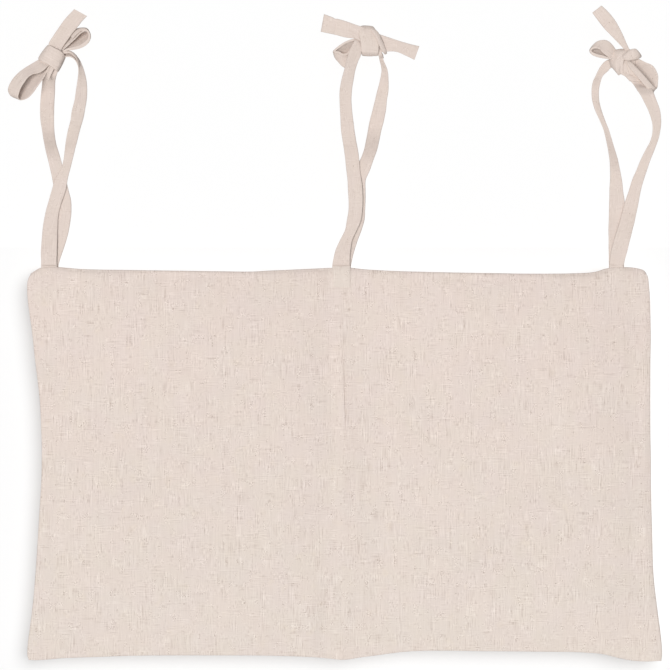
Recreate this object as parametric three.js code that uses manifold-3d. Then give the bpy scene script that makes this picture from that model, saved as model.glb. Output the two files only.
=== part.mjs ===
// Two-compartment hanging storage bag with three pairs of tie straps.
// Millimetres, +Z up, +X to the right, the face of the bag looks along -Y.
// Origin: middle of the bag's width, on the axis of the rail that passes through the three tie loops.
import * as THREE from 'three';
import Module from 'manifold-3d';

// ---------- driving dimensions (mm unless said otherwise) ----------
const SCALE = 0.948; // mm per outline unit in the seam plane y = 0
const EYE = 2000; // distance from which the outline was drawn; straps in front of the seam plane are drawn smaller by it
const RAIL_V = 112; // outline height of the rail axis (the row's Z = 0)
const MID_U = 344.5; // outline position of the middle of the bag (the row's X = 0)
const RIM_SKIN = 1.0; // outer fabric with its turned seam allowance
const LINING_T = 0.8;
const GAP = 0.3; // gap kept between touching layers
const WAD_MAX = 6.0; // wadding thickness in the middle of a compartment
const POCKET_FRONT = 4.6; // half depth of an empty compartment, towards the front
const POCKET_BACK = 5.6; // half depth towards the back
const MOUTH = 9.0; // how far the front lip stands off the seam plane at mid-mouth
const STRAP_T = 1.6; // strap: fabric folded in four and stitched
const STRAP_W = 16; // strap width in outline units
const LOOP_DEPTH = 16.5; // how far a strap stands off the seam plane where it passes the rail
const HINGE_V = 267.6; // flex line of the ties, just above the top edge
const BOTTOM_V = 662; // flex line of the pocket fronts, at the bottom seam

const zOf = (v) => (RAIL_V - v) * SCALE;
const EYE_U = 335, EYE_V = 335;
const EYE_X = (EYE_U - MID_U) * SCALE, EYE_Z = zOf(EYE_V);
// a point of the outline drawing at depth y
const P = (u, v, y = 0) => {
  const k = (SCALE * (EYE + y)) / EYE;
  return new THREE.Vector3(EYE_X + (u - EYE_U) * k, y, EYE_Z - (v - EYE_V) * k);
};

const wasm = await Module();
wasm.setup();

// ---------- materials ----------
const fabric = new THREE.MeshStandardMaterial({ color: 0xe5d7ca, roughness: 0.95, metalness: 0 });
const strapCloth = new THREE.MeshStandardMaterial({ color: 0xe3d2c6, roughness: 0.95, metalness: 0 });
const liningCloth = new THREE.MeshStandardMaterial({ color: 0xefe9df, roughness: 0.95, metalness: 0 });
const waddingFibre = new THREE.MeshStandardMaterial({ color: 0xf6f4ee, roughness: 1, metalness: 0 });
const thread = new THREE.MeshStandardMaterial({ color: 0xdccabb, roughness: 0.8, metalness: 0 });

// ---------- mesh helpers ----------
function toGeometry(pos, tri) {
  const g = new THREE.BufferGeometry();
  g.setAttribute('position', new THREE.Float32BufferAttribute(pos.flat(), 3));
  let vol = 0;
  for (const [a, b, c] of tri) {
    const [A, B, C] = [pos[a], pos[b], pos[c]];
    vol += A[0] * (B[1] * C[2] - B[2] * C[1]) - A[1] * (B[0] * C[2] - B[2] * C[0]) + A[2] * (B[0] * C[1] - B[1] * C[0]);
  }
  const t = vol < 0 ? tri.map(([a, b, c]) => [a, c, b]) : tri;
  g.setIndex(t.flat());
  return g;
}
const solid = (g) => new wasm.Manifold(new wasm.Mesh({
  numProp: 3,
  vertProperties: new Float32Array(g.attributes.position.array),
  triVerts: new Uint32Array(g.index.array),
}));
function geometryOf(m) {
  const mesh = m.getMesh();
  const g = new THREE.BufferGeometry();
  const n = mesh.numProp, count = mesh.vertProperties.length / n, pos = new Float32Array(count * 3);
  for (let i = 0; i < count; i++) for (let k = 0; k < 3; k++) pos[i * 3 + k] = mesh.vertProperties[i * n + k];
  g.setAttribute('position', new THREE.BufferAttribute(pos, 3));
  g.setIndex([...mesh.triVerts]);
  return g;
}
function largest(m) {
  const parts = m.decompose();
  parts.sort((a, b) => b.volume() - a.volume());
  return parts[0];
}
const union = (list) => list.map(solid).reduce((a, b) => a.add(b));

// a strap between two edge curves given as stations [uL, vL, yL, uR, vR, yR]
function edges(stations, n) {
  const L = new THREE.CatmullRomCurve3(stations.map((s) => P(s[0], s[1], s[2])), false, 'centripetal');
  const R = new THREE.CatmullRomCurve3(stations.map((s) => P(s[3], s[4], s[5])), false, 'centripetal');
  const out = [];
  for (let i = 0; i <= n; i++) out.push([L.getPoint(i / n), R.getPoint(i / n)]);
  return out;
}
function ribbon(stations, n, t = STRAP_T, grow = 0) {
  const e = edges(stations, n);
  const pos = [], tri = [];
  for (let i = 0; i < e.length; i++) {
    const [l0, r0] = e[i];
    const a = e[Math.max(0, i - 1)], b = e[Math.min(e.length - 1, i + 1)];
    const along = b[0].clone().add(b[1]).sub(a[0]).sub(a[1]).normalize();
    const w = r0.clone().sub(l0), wn = w.clone().normalize();
    const nrm = along.clone().cross(wn).normalize();
    const l = l0.clone().addScaledVector(wn, -grow), r = r0.clone().addScaledVector(wn, grow);
    const h = t / 2 + grow, inset = Math.min(0.7, w.length() * 0.2);
    const put = (p) => pos.push([p.x, p.y, p.z]);
    put(l.clone());
    put(l.clone().addScaledVector(wn, inset).addScaledVector(nrm, h));
    put(r.clone().addScaledVector(wn, -inset).addScaledVector(nrm, h));
    put(r.clone());
    put(r.clone().addScaledVector(wn, -inset).addScaledVector(nrm, -h));
    put(l.clone().addScaledVector(wn, inset).addScaledVector(nrm, -h));
  }
  const m = 6, rings = e.length;
  for (let i = 0; i + 1 < rings; i++) for (let k = 0; k < m; k++) {
    const a = i * m + k, b = i * m + ((k + 1) % m), c = a + m, d = b + m;
    tri.push([a, b, d], [a, d, c]);
  }
  const end = (rings - 1) * m;
  for (let k = 1; k + 1 < m; k++) { tri.push([0, k + 1, k]); tri.push([end, end + k, end + k + 1]); }
  return toGeometry(pos, tri);
}
// closed band around the knot: centre (u, v), axis and cross direction in the drawing's plane
function band(u, v, y, axis, halfAcross, halfDepth, width, t, n = 18) {
  const c = P(u, v, y);
  const ax = new THREE.Vector3(axis[0], 0, -axis[1]).normalize();
  const cr = new THREE.Vector3(axis[1], 0, axis[0]).normalize();
  const yv = new THREE.Vector3(0, 1, 0);
  const pos = [], tri = [];
  for (let i = 0; i < n; i++) {
    const a = (i / n) * Math.PI * 2;
    const rad = cr.clone().multiplyScalar(Math.cos(a) * halfAcross).addScaledVector(yv, Math.sin(a) * halfDepth);
    const nrm = cr.clone().multiplyScalar(Math.cos(a) / halfAcross).addScaledVector(yv, Math.sin(a) / halfDepth).normalize();
    const put = (s, h) => {
      const p = c.clone().add(rad).addScaledVector(ax, s).addScaledVector(nrm, h);
      pos.push([p.x, p.y, p.z]);
    };
    const w = width / 2;
    put(-w, 0); put(-w + 1.2, t / 2); put(w - 1.2, t / 2); put(w, 0); put(w - 1.2, -t / 2); put(-w + 1.2, -t / 2);
  }
  for (let i = 0; i < n; i++) for (let k = 0; k < 6; k++) {
    const a = i * 6 + k, b = i * 6 + ((k + 1) % 6), c2 = ((i + 1) % n) * 6 + k, d = ((i + 1) % n) * 6 + ((k + 1) % 6);
    tri.push([a, b, d], [a, d, c2]);
  }
  return toGeometry(pos, tri);
}
function core(u, v, y, axis, halfAcross, halfDepth, halfLength, grow = 0) {
  const c = P(u, v, y);
  const ax = new THREE.Vector3(axis[0], 0, -axis[1]).normalize();
  const cr = new THREE.Vector3(axis[1], 0, axis[0]).normalize();
  const nu = 12, nv = 7, pos = [], tri = [];
  const put = (s, a, r) => {
    const p = c.clone().addScaledVector(ax, s * (halfLength + grow))
      .addScaledVector(cr, Math.cos(a) * r * (halfAcross + grow)).add(new THREE.Vector3(0, Math.sin(a) * r * (halfDepth + grow), 0));
    pos.push([p.x, p.y, p.z]);
  };
  put(-1, 0, 0);
  for (let j = 1; j < nv; j++) {
    const th = (j / nv) * Math.PI;
    for (let i = 0; i < nu; i++) put(-Math.cos(th), (i / nu) * Math.PI * 2, Math.sin(th) ** 0.6);
  }
  put(1, 0, 0);
  const id = (j, i) => 1 + (j - 1) * nu + (i % nu), top = pos.length - 1;
  for (let i = 0; i < nu; i++) {
    tri.push([0, id(1, i + 1), id(1, i)]);
    for (let j = 1; j < nv - 1; j++) tri.push([id(j, i), id(j, i + 1), id(j + 1, i + 1)], [id(j, i), id(j + 1, i + 1), id(j + 1, i)]);
    tri.push([top, id(nv - 1, i), id(nv - 1, i + 1)]);
  }
  return toGeometry(pos, tri);
}

// ---------- tie straps ----------
const smooth = (t) => { t = Math.min(1, Math.max(0, t)); return t * t * (3 - 2 * t); };
// depth of a strap along its height: near the seam plane at the knot and the crossing, LOOP_DEPTH at the rail
const depthAt = (v, knotV, crossV) => 1.6 + (LOOP_DEPTH - 1.6) * smooth((v - knotV) / (96 - knotV)) * (1 - smooth((v - 128) / (crossV - 128)));
// [v, uLeft, uRight] rows of one strap below the knot; side -1 is in front of the rail, +1 behind; tilt turns the strap
function strand(rows, side, knotV, crossV, tilt) {
  return rows.map(([v, a, b]) => {
    const narrow = Math.sqrt(Math.max(0, STRAP_W ** 2 - (b - a) ** 2)) * SCALE * 0.22;
    const d = side * (v > 262 ? 1.05 : v > crossV ? 1.25 : depthAt(v, knotV, crossV));
    const t = tilt * narrow * (1 - smooth((v - 118) / (crossV - 8 - 118)));
    return [a, v, d - t, b, v, d + t];
  });
}
const FOOT_V = 265.7; // lower end of the free part of each strap

const LEFT_FRONT = strand([[90, 76, 87], [100, 74.5, 86.7], [110, 72, 85], [120, 70.5, 83], [130, 68, 80], [140, 66, 77.5], [150, 64.7, 75],
  [160, 63.5, 72.5], [170, 60.5, 70], [180, 55, 67.5], [190, 51.7, 66], [200, 49, 62.5], [210, 46, 59.5], [220, 44, 58], [230, 42.5, 57.7],
  [240, 41.7, 57.5], [252, 41, 57], [FOOT_V, 41, 57]], -1, 74, 160, 1);
const LEFT_BACK = strand([[71, 50, 57], [80, 42.5, 55.5], [90, 41.5, 55], [100, 40.5, 54.5], [110, 40, 54.2], [120, 40.5, 54], [130, 42, 54.3],
  [140, 43.5, 55.5], [150, 45.5, 58], [160, 48, 61], [170, 50.3, 63.5], [180, 52.5, 66], [190, 54, 68.5], [200, 56, 71], [210, 57, 71.5],
  [220, 56, 70.5], [230, 54.5, 69], [240, 51.5, 66.5], [252, 47, 62.5], [FOOT_V, 43.5, 58.5]], 1, 66, 160, -1);
const MID_FRONT = strand([[62, 346, 358], [70, 344, 355.5], [80, 341.5, 353.5], [90, 339.7, 352], [100, 339.5, 351.5], [110, 340, 352],
  [120, 340.5, 353.3], [130, 341, 354.5], [140, 342.5, 356], [150, 344, 358], [160, 345.3, 359.3], [170, 346.3, 360], [180, 347.5, 361.5],
  [190, 348, 362.5], [200, 348.5, 363], [210, 348.5, 362.5], [220, 347, 361], [230, 345, 357], [240, 340, 352.5], [252, 335, 350.3],
  [FOOT_V, 332.3, 350]], -1, 40, 166, 1);
const MID_BACK = strand([[60, 379.5, 383.5], [70, 381.5, 387.5], [80, 380, 388.5], [90, 377.5, 388.5], [100, 375, 387], [110, 372.5, 386],
  [120, 370, 384], [130, 368, 381.5], [140, 366, 379.5], [150, 364, 377], [160, 360, 373.5], [170, 355, 370], [180, 351, 365.8],
  [190, 350, 365.6], [200, 350, 365.5], [210, 349.5, 365.2], [220, 348.5, 364.5], [230, 346.5, 361.5], [240, 342.5, 358], [252, 338, 354],
  [FOOT_V, 334.5, 351]], 1, 52, 166, -1);
const RIGHT_BACK = strand([[64, 604, 612], [70, 600, 607], [76, 597, 602.8], [82, 594, 599.7], [90, 592, 598.5], [100, 592.3, 599], [110, 595, 601.5],
  [120, 599.5, 605], [130, 603.5, 609], [140, 606, 612], [150, 608, 615], [160, 609.5, 618], [170, 610, 620], [180, 610, 622], [190, 609.5, 623],
  [200, 609.3, 624.5], [210, 609, 624.6], [220, 608.7, 624.6], [235, 608.5, 624.4], [252, 608.7, 624.2], [FOOT_V, 609, 624]], 1, 60, 176, 1);
const RIGHT_FRONT = strand([[84, 633, 648], [90, 637, 652.5], [95, 640.5, 654.5], [100, 643, 656.5], [110, 648, 660], [118, 651, 661],
  [125, 652.5, 661], [135, 652, 659.5], [142, 649.8, 657.5], [150, 645.5, 654.5], [160, 640.5, 650.5], [170, 636.5, 647], [180, 632, 643.8],
  [190, 629, 641], [200, 625.5, 639], [210, 622.5, 637], [220, 620, 635], [230, 617, 632.5], [240, 614, 630], [252, 611, 627],
  [FOOT_V, 609.5, 623.6]], -1, 76, 176, -1);

const LEFT_ARCH = [[58, 60, 3, 55, 54, 3], [62, 57.5, 0, 59, 52.8, 6], [66, 57, -3, 64, 51.7, 5], [71, 57.4, -6, 70, 51.3, 3.5], [75, 60, -8, 75, 54.5, 1],
  [77.5, 64.5, -9.5, 80.5, 62, -1.5], [78, 70, -12.5, 83.5, 70.5, -6.5], [77.5, 80, -16.5, 86, 80, -11.5], [76, 90, -18, 87, 90, -14]];
const LEFT_LOOP_LOW = [[50, 54, 3, 53, 61, -1], [46, 56, 4, 50, 64, -4], [38.5, 60, 3, 43, 70, -7], [29, 65.5, 2, 36, 74.3, -8.5], [22, 70, 1, 28, 78, -9.5],
  [16, 75.5, 0, 23.5, 84, -10], [11, 82, 0, 20.5, 89.5, -10], [8, 89, 0, 18.5, 95, -10], [8.8, 93.5, 0.5, 18.6, 98.8, -9.5], [14, 96.5, 2, 22.5, 100, -8.5],
  [19, 92.5, 4, 28, 98, -7], [25, 85, 5, 33, 93, -5], [33, 76, 5.5, 39, 84.5, -3.5], [41, 67, 5.5, 44.5, 76, -1], [47, 60, 5, 50, 67, 0], [51, 56, 4, 53, 62, 0]];
const LEFT_LOOP_TOP = [[54, 54, 3, 56, 57, -2], [60, 49, 3, 62.5, 52, -5], [64, 44.5, 2.5, 68, 47, -7.5], [69, 38.5, 2, 73, 42, -9], [74, 33, 2, 78, 37, -9.5],
  [79, 30, 2, 83, 33.5, -10], [84, 28.7, 2, 87, 31, -10], [88.3, 29.6, 2.7, 89.5, 33.5, -9.5], [89.7, 34.5, 4.2, 90, 39, -8.5], [88, 38.8, 5, 88.5, 44, -7.5],
  [81, 42.5, 5.5, 82, 48.7, -6], [74, 45.5, 5.2, 75, 50.4, -5], [66, 48.5, 4.8, 67.5, 51, -3], [58, 52, 4.5, 60, 54.5, -1]];
const LEFT_TAIL = [[49, 47.5, -4.5, 59.5, 54.5, -4.5], [50, 41, -5, 65, 45, -5], [55, 34, -5, 70, 36.5, -5], [60, 27, -5, 75, 30, -5], [66, 20, -5, 80, 24, -5],
  [73.5, 9.5, -5, 86.5, 16, -5]];

const MID_ARCH = [[363, 40, -2, 367, 51, -2], [357.5, 38.5, -5, 362.6, 46, -5.5], [353, 45, -8.5, 361.6, 50, -7.5], [349, 54, -11.5, 360.7, 55.5, -9.5]];
const MID_LOOP = [[364, 38, -1, 366, 45, 5], [357, 37.5, -3.5, 360, 44, 6], [350, 39.2, -4.5, 354, 46, 6.5], [343, 43, -5, 347, 50, 5.5], [337, 46.5, -5.5, 341, 54, 4.5],
  [333.7, 49.2, -6, 336.2, 57, 3.5], [334.2, 50.2, -6, 334.6, 58, 2.5], [337, 51, -5.5, 337, 61, 3], [341, 53, -5, 340, 64, 4], [347, 53.3, -4, 345, 66, 5.5],
  [353, 51, -2.5, 352, 62, 7], [359, 46, -1, 359, 55, 7], [365, 42, 0, 365, 48, 5]];
const MID_TAIL_LEFT = [[323.5, 14.5, -6, 321, 31.5, -6], [330, 16.3, -6.3, 330, 33.5, -6.3], [340, 19.5, -6.8, 340, 36, -6.8], [350, 22, -7.2, 350, 38, -7.2],
  [358, 25, -7.5, 356, 38.5, -7.5], [366, 28, -7, 361, 41, -7]];
const MID_TAIL_RIGHT = [[366, 36, 0, 366, 46, 0], [376, 35, -1, 377, 51.5, -1], [384, 36, -2.5, 385, 51.5, -2.5], [393, 38.5, -3, 393, 51.5, -3],
  [400, 40.5, -3, 400, 53.2, -3], [410, 43.5, -3, 408, 57, -3], [419.5, 46, -3, 414.5, 60, -3]];

const RIGHT_LOOP_LEFT = [[622, 56, 3, 622, 61, -1], [616, 50.5, 4, 615, 57.5, -3], [610, 43.5, 4, 609.5, 54.5, -5], [603, 40.3, 4, 603, 50.8, -6], [597, 41.2, 4, 597.5, 49, -6.5],
  [592.5, 45.5, 3.5, 593.5, 48.4, -7], [590.2, 49.5, 3, 590.8, 51, -7], [592.5, 50.5, 4, 592.5, 55, -6.5], [598, 50.5, 4.5, 597.5, 57.3, -6], [604, 52, 5, 603.5, 58, -4.5],
  [610, 54, 5, 610, 59, -3], [618, 57, 4, 618, 62, -1]];
const RIGHT_LOOP_RIGHT = [[626, 60, -1, 624, 58, 3], [631, 60.5, -4, 636, 57, 3], [637, 66, -6.5, 645, 61.5, 3.5], [643, 73, -8, 652, 65, 3.5], [650, 80, -9.5, 657, 71.5, 3],
  [655, 86, -10.5, 658, 79, 2], [655.5, 89.7, -11, 656.6, 86, 0], [652.5, 91.6, -12.5, 655, 89.7, 1.2], [648, 89.5, -12.5, 651.5, 86, 1.5], [642, 83.5, -12, 646, 79.5, 1.5],
  [637, 78.5, -11, 641, 74, 1.5], [631, 71.5, -9, 635, 67.5, 2], [626, 64, -6, 629, 61, 2], [622, 59, -3, 625, 57, 3]];
const RIGHT_TAIL = [[592.5, 13, -4, 602, 6, -4], [604, 27, -4.5, 612, 17, -4.5], [610, 33, -4.8, 620, 27, -4.8], [615, 38, -5, 623.3, 34, -5], [620, 44, -5, 627, 43, -5],
  [625, 50, -4.5, 630, 50, -4.5], [626, 54, -4, 633, 54, -4]];
const RIGHT_DROP = [[620, 60, 0, 631, 60, -2], [620, 68, -3, 631.5, 70, -4], [625, 75.5, -7.5, 638, 77, -7]];
const LEFT_HEAD = [[50, 59, 4.5, 58, 59, 4.5], [50, 65, 4.5, 58, 65, 4.5], [49, 71, 4.5, 57, 71, 4.5]];
const MID_HEAD = [[368, 51, 4.5, 378, 50, 4.5], [376, 55.5, 4.5, 382, 54.5, 5]];
const RIGHT_HEAD = [[618, 58, 4.5, 626, 63, 4.5], [611, 60, 5.5, 617, 67, 5.5]];
// the strap from the knot down to its foot, one strip
const run = (head, rows, from) => [...head, ...rows.filter((s) => s[1] >= from)];

// each pair: the first strap carries the core of the knot and the loops, the second wraps round it
const pairs = {
  left: {
    front: { ribbons: [[run(LEFT_ARCH, LEFT_FRONT, 100), 36], [LEFT_LOOP_LOW, 20], [LEFT_LOOP_TOP, 16]], core: [52, 57, -0.5, [24, -13], 7.6, 4.6, 11] },
    back: { ribbons: [[run(LEFT_HEAD, LEFT_BACK, 80), 32], [LEFT_TAIL, 4]], band: [52, 57, -0.5, [24, -13], 9.4, 6.4, 13, 1.8] },
  },
  centre: {
    front: { ribbons: [[run(MID_ARCH, MID_FRONT, 62), 32], [MID_LOOP, 18], [MID_TAIL_RIGHT, 8]], core: [370, 41, -0.5, [1, 0.08], 10.2, 5.4, 9.5] },
    back: { ribbons: [[run(MID_HEAD, MID_BACK, 60), 32], [MID_TAIL_LEFT, 8]], band: [369.5, 40.7, -0.5, [1, 0.08], 12.2, 7.4, 14.5, 1.8] },
  },
  right: {
    front: { ribbons: [[run(RIGHT_DROP, RIGHT_FRONT, 84), 32], [RIGHT_LOOP_LEFT, 16], [RIGHT_LOOP_RIGHT, 18]], core: [625, 61, -1, [13, 10], 7.6, 4.6, 13.5] },
    back: { ribbons: [[run(RIGHT_HEAD, RIGHT_BACK, 64), 32], [RIGHT_TAIL, 8]], band: [628, 59.5, -1, [13, 10], 9.6, 6.4, 11, 1.8] },
  },
};

const group = new THREE.Group();
group.name = 'storage_bag';
function add(name, geometry, material) {
  const m = new THREE.Mesh(geometry, material);
  m.name = name;
  group.add(m);
  return m;
}
const ties = new THREE.Group();
group.add(ties);

for (const [where, pair] of Object.entries(pairs)) {
  const build = (p, grow) => union([
    ...p.ribbons.map(([s, n]) => ribbon(s, n, STRAP_T, grow)),
    ...(p.core ? [core(...p.core, grow)] : []),
    ...(p.band ? [band(...p.band)] : []),
  ]);
  const inner = largest(build(pair.front, 0));
  const outer = largest(build(pair.back, 0).subtract(build(pair.front, 0.35)));
  add(`${where}_tie_front_strap`, geometryOf(inner), strapCloth);
  add(`${where}_tie_back_strap`, geometryOf(outer), strapCloth);
}
// bartacks: short thread bars across the feet of the straps
for (const [where, a, b] of [['left', 41.8, 56.2], ['centre', 333.2, 349.2], ['right', 610.2, 622.8]]) {
  const y = -1.05 - STRAP_T / 2 - GAP - 0.3;
  add(`${where}_tie_bartack`, ribbon([[a, 263.1, y, b, 263.1, y], [a, 264.7, y, b, 264.7, y]], 1, 0.6), thread);
}

// ---------- bag panels ----------
const TOP_L = [[31, 273.5], [35, 271], [41, 268.8], [50, 268.3], [58, 268.3], [65, 268.5], [80, 269], [110, 270], [160, 271], [200, 272], [240, 272.3], [270, 271],
  [300, 269.5], [325, 268.5], [333, 268.3], [341.5, 268.3]];
const TOP_R = [[341.5, 268.3], [350, 268.3], [360, 269], [375, 270], [400, 271.3], [430, 272.5], [470, 273.3], [500, 273.7], [550, 274], [575, 273.8], [590, 273],
  [600, 270.5], [608, 268.6], [616, 268.3], [630, 268.3], [638, 269.2], [643, 271], [646, 274]];
const LEFT_EDGE = [[31, 273.5], [28, 279], [27.3, 290], [29, 305], [31, 320], [34, 335], [36, 350], [39, 375], [41, 400], [42.5, 430], [43, 450], [42, 480], [40, 510],
  [38, 540], [36, 570], [34, 590], [31, 620], [29.5, 640], [28.3, 652], [28.6, 659.5]];
const RIGHT_EDGE = [[646, 274], [648.5, 280], [649.7, 292], [650, 320], [650.3, 360], [650.3, 400], [650, 430], [650.5, 470], [651.5, 510], [653, 550], [654.5, 580],
  [656.5, 605], [659, 630], [661, 650], [661, 660.5]];
const SEAM = [[341.5, 268.3], [342.2, 300], [343.2, 350], [344.2, 385], [345.4, 420], [345.4, 455], [344.4, 505], [343, 555], [341.9, 595], [341.1, 630],
  [340.6, 661]];
const BOT_L = [[28.6, 659.5], [45, 660], [55, 658.5], [65, 657], [100, 656], [160, 655.5], [200, 655], [240, 655.5], [280, 656.5], [310, 657.5], [325, 659.5], [334, 660.7], [340.6, 661]];
const BOT_R = [[340.6, 661], [352, 661], [365, 659.5], [380, 657], [400, 654.5], [420, 652.5], [460, 650.5], [500, 650], [560, 650], [595, 650.5], [605, 652], [615, 655.5],
  [625, 658.5], [635, 661], [650, 661.8], [661, 660.5]];

// outline curve, looked up by share of its length
function polyline(points) {
  const d = [0];
  for (let i = 1; i < points.length; i++) d.push(d[i - 1] + Math.hypot(points[i][0] - points[i - 1][0], points[i][1] - points[i - 1][1]));
  return (t) => {
    const s = t * d[d.length - 1];
    let i = 1;
    while (i < d.length - 1 && d[i] < s) i++;
    const k = (s - d[i - 1]) / (d[i] - d[i - 1]);
    return [points[i - 1][0] + (points[i][0] - points[i - 1][0]) * k, points[i - 1][1] + (points[i][1] - points[i - 1][1]) * k];
  };
}
const COLS = [0, 0.018, 0.05, 0.1, 0.17, 0.27, 0.4, 0.5, 0.6, 0.73, 0.83, 0.9, 0.95, 0.982, 1];
const ROWS = [0, 0.014, 0.04, 0.09, 0.17, 0.27, 0.4, 0.53, 0.66, 0.77, 0.86, 0.92, 0.96, 0.986, 1];
// one half: u, v of the grid, with the four outline curves blended between (a Coons patch)
function half(top, bottom, left, right) {
  const T = polyline(top), B = polyline(bottom), L = polyline(left), R = polyline(right);
  return ROWS.map((b) => COLS.map((a) => {
    const t = T(a), m = B(a), l = L(b), r = R(b), c00 = T(0), c10 = T(1), c01 = B(0), c11 = B(1);
    return [0, 1].map((k) => (1 - b) * t[k] + b * m[k] + (1 - a) * l[k] + a * r[k]
      - ((1 - a) * (1 - b) * c00[k] + a * (1 - b) * c10[k] + (1 - a) * b * c01[k] + a * b * c11[k]));
  }));
}
const leftHalf = half(TOP_L, BOT_L, LEFT_EDGE, SEAM);
const rightHalf = half(TOP_R, BOT_R, SEAM, RIGHT_EDGE);

const rise = (t) => { t = Math.min(1, Math.max(0, t)); return Math.sqrt(1 - (1 - t) ** 2); }; // round shoulder
const HALF_W = 297, HEIGHT = 372;
// how full the compartment is at (a, b), 0 on its seams and 1 on the plateau; the top edge is open
const fullness = (a, b) => rise((Math.min(a, 1 - a) * HALF_W) / 62) * rise(((1 - b) * HEIGHT) / 62);
// mouth: 0 where the ties and corners hold the top edge closed, 1 at mid-mouth
const MOUTH_SPAN = { left: [0.1, 0.96], right: [0.035, 0.87] };
const mouth = (a, side) => { const [p, q] = MOUTH_SPAN[side]; const t = (a - p) / (q - p); return t <= 0 || t >= 1 ? 0 : Math.sin(Math.PI * t) ** 0.9; };
function layers(side, a, b, face) {
  const full = fullness(a, b), m = mouth(a, side), down = Math.exp(-(b * HEIGHT) / 70), top = rise((b * HEIGHT) / 46 + 0.02);
  const pocket = face === 'front' ? POCKET_FRONT * full * (0.35 + 0.65 * top) + MOUTH * m * down : POCKET_BACK * full * top;
  const wad = 0.6 + (WAD_MAX - 0.6) * full * (0.3 + 0.7 * top);
  const rim = a === 0 || a === 1 || b === 0 || b === 1;
  const y0 = 0.2 + pocket; // lining, pocket side
  const y1 = y0 + LINING_T;
  const y2 = y1 + GAP, y3 = y2 + wad; // wadding
  const y4 = y3 + GAP, y5 = y4 + RIM_SKIN; // outer fabric
  return { lining: [y0, y1], wadding: [y2, y3], outer: rim ? [y0, y0 + RIM_SKIN] : [y4, y5] };
}
// closed solid over a grid of [u, v, yNear, yFar]
function slab(grid) {
  const nr = grid.length, nc = grid[0].length, pos = [], tri = [];
  for (const k of [2, 3]) for (const row of grid) for (const g of row) { const p = P(g[0], g[1], 0); pos.push([p.x, g[k], p.z]); }
  const id = (s, r, c) => s * nr * nc + r * nc + c;
  for (let r = 0; r + 1 < nr; r++) for (let c = 0; c + 1 < nc; c++) {
    tri.push([id(0, r, c), id(0, r + 1, c), id(0, r + 1, c + 1)], [id(0, r, c), id(0, r + 1, c + 1), id(0, r, c + 1)]);
    tri.push([id(1, r, c), id(1, r + 1, c + 1), id(1, r + 1, c)], [id(1, r, c), id(1, r, c + 1), id(1, r + 1, c + 1)]);
  }
  const ring = [];
  for (let c = 0; c < nc; c++) ring.push([0, c]);
  for (let r = 1; r < nr; r++) ring.push([r, nc - 1]);
  for (let c = nc - 2; c >= 0; c--) ring.push([nr - 1, c]);
  for (let r = nr - 2; r > 0; r--) ring.push([r, 0]);
  ring.forEach(([r, c], i) => {
    const [r2, c2] = ring[(i + 1) % ring.length];
    const a = id(0, r, c), b = id(0, r2, c2), d = id(1, r, c), e = id(1, r2, c2);
    tri.push([a, b, e], [a, e, d]);
  });
  return toGeometry(pos, tri);
}
const inset = (g, top = 1) => g.slice(top, -1).map((row) => row.slice(1, -1));
function halfGrid(h, side, face, layer, sign, trim) {
  return h.map((row, j) => row.map(([u, v], i) => {
    const [p, q] = layers(side, COLS[i], ROWS[j], face)[layer];
    return [u + (trim && i === (side === 'left' ? COLS.length - 1 : 0) ? (side === 'left' ? -0.9 : 0.9) : 0), v, sign * p, sign * q];
  }));
}
for (const [side, h] of [['left', leftHalf], ['right', rightHalf]]) {
  add(`front_${side}_outer_panel`, slab(halfGrid(h, side, 'front', 'outer', -1, true)), fabric);
  add(`front_${side}_wadding`, slab(inset(halfGrid(h, side, 'front', 'wadding', -1, false))), waddingFibre);
  add(`front_${side}_lining`, slab(inset(halfGrid(h, side, 'front', 'lining', -1, false))), liningCloth);
}
// full-width back layers; the divider seam draws them in at the middle
for (const [layer, name, material] of [['outer', 'back_outer_panel', fabric], ['wadding', 'back_wadding', waddingFibre]]) {
  const l = halfGrid(leftHalf, 'left', 'back', layer, 1, false), r = halfGrid(rightHalf, 'right', 'back', layer, 1, false);
  let g = l.map((row, j) => [...row, ...r[j].slice(1)]);
  const mid = COLS.length - 1;
  if (layer === 'outer') g = g.map((row, j) => row.map((q, i) => (i === mid && j > 0 && j < ROWS.length - 1 ? [q[0], q[1], 0.2 + LINING_T + 2 * GAP + 0.6, 0.2 + LINING_T + 2 * GAP + 0.6 + RIM_SKIN] : q)));
  else g = inset(g);
  add(name, slab(g), material);
}
// the back lining is in two halves, one for each compartment
for (const [side, h] of [['left', leftHalf], ['right', rightHalf]]) add(`back_${side}_lining`, slab(inset(halfGrid(h, side, 'back', 'lining', 1, false))), liningCloth);
// divider: the line of thread down the centre seam, between the two front halves
{
  const S = polyline(SEAM);
  const rows = [];
  for (let i = 0; i <= 8; i++) { const [u, v] = S(0.02 + (0.96 * i) / 8); rows.push([u - 0.45, v, -0.8, u + 0.45, v, -0.8]); }
  add('divider_stitching', ribbon(rows, 8, 0.9), thread);
}
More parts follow.
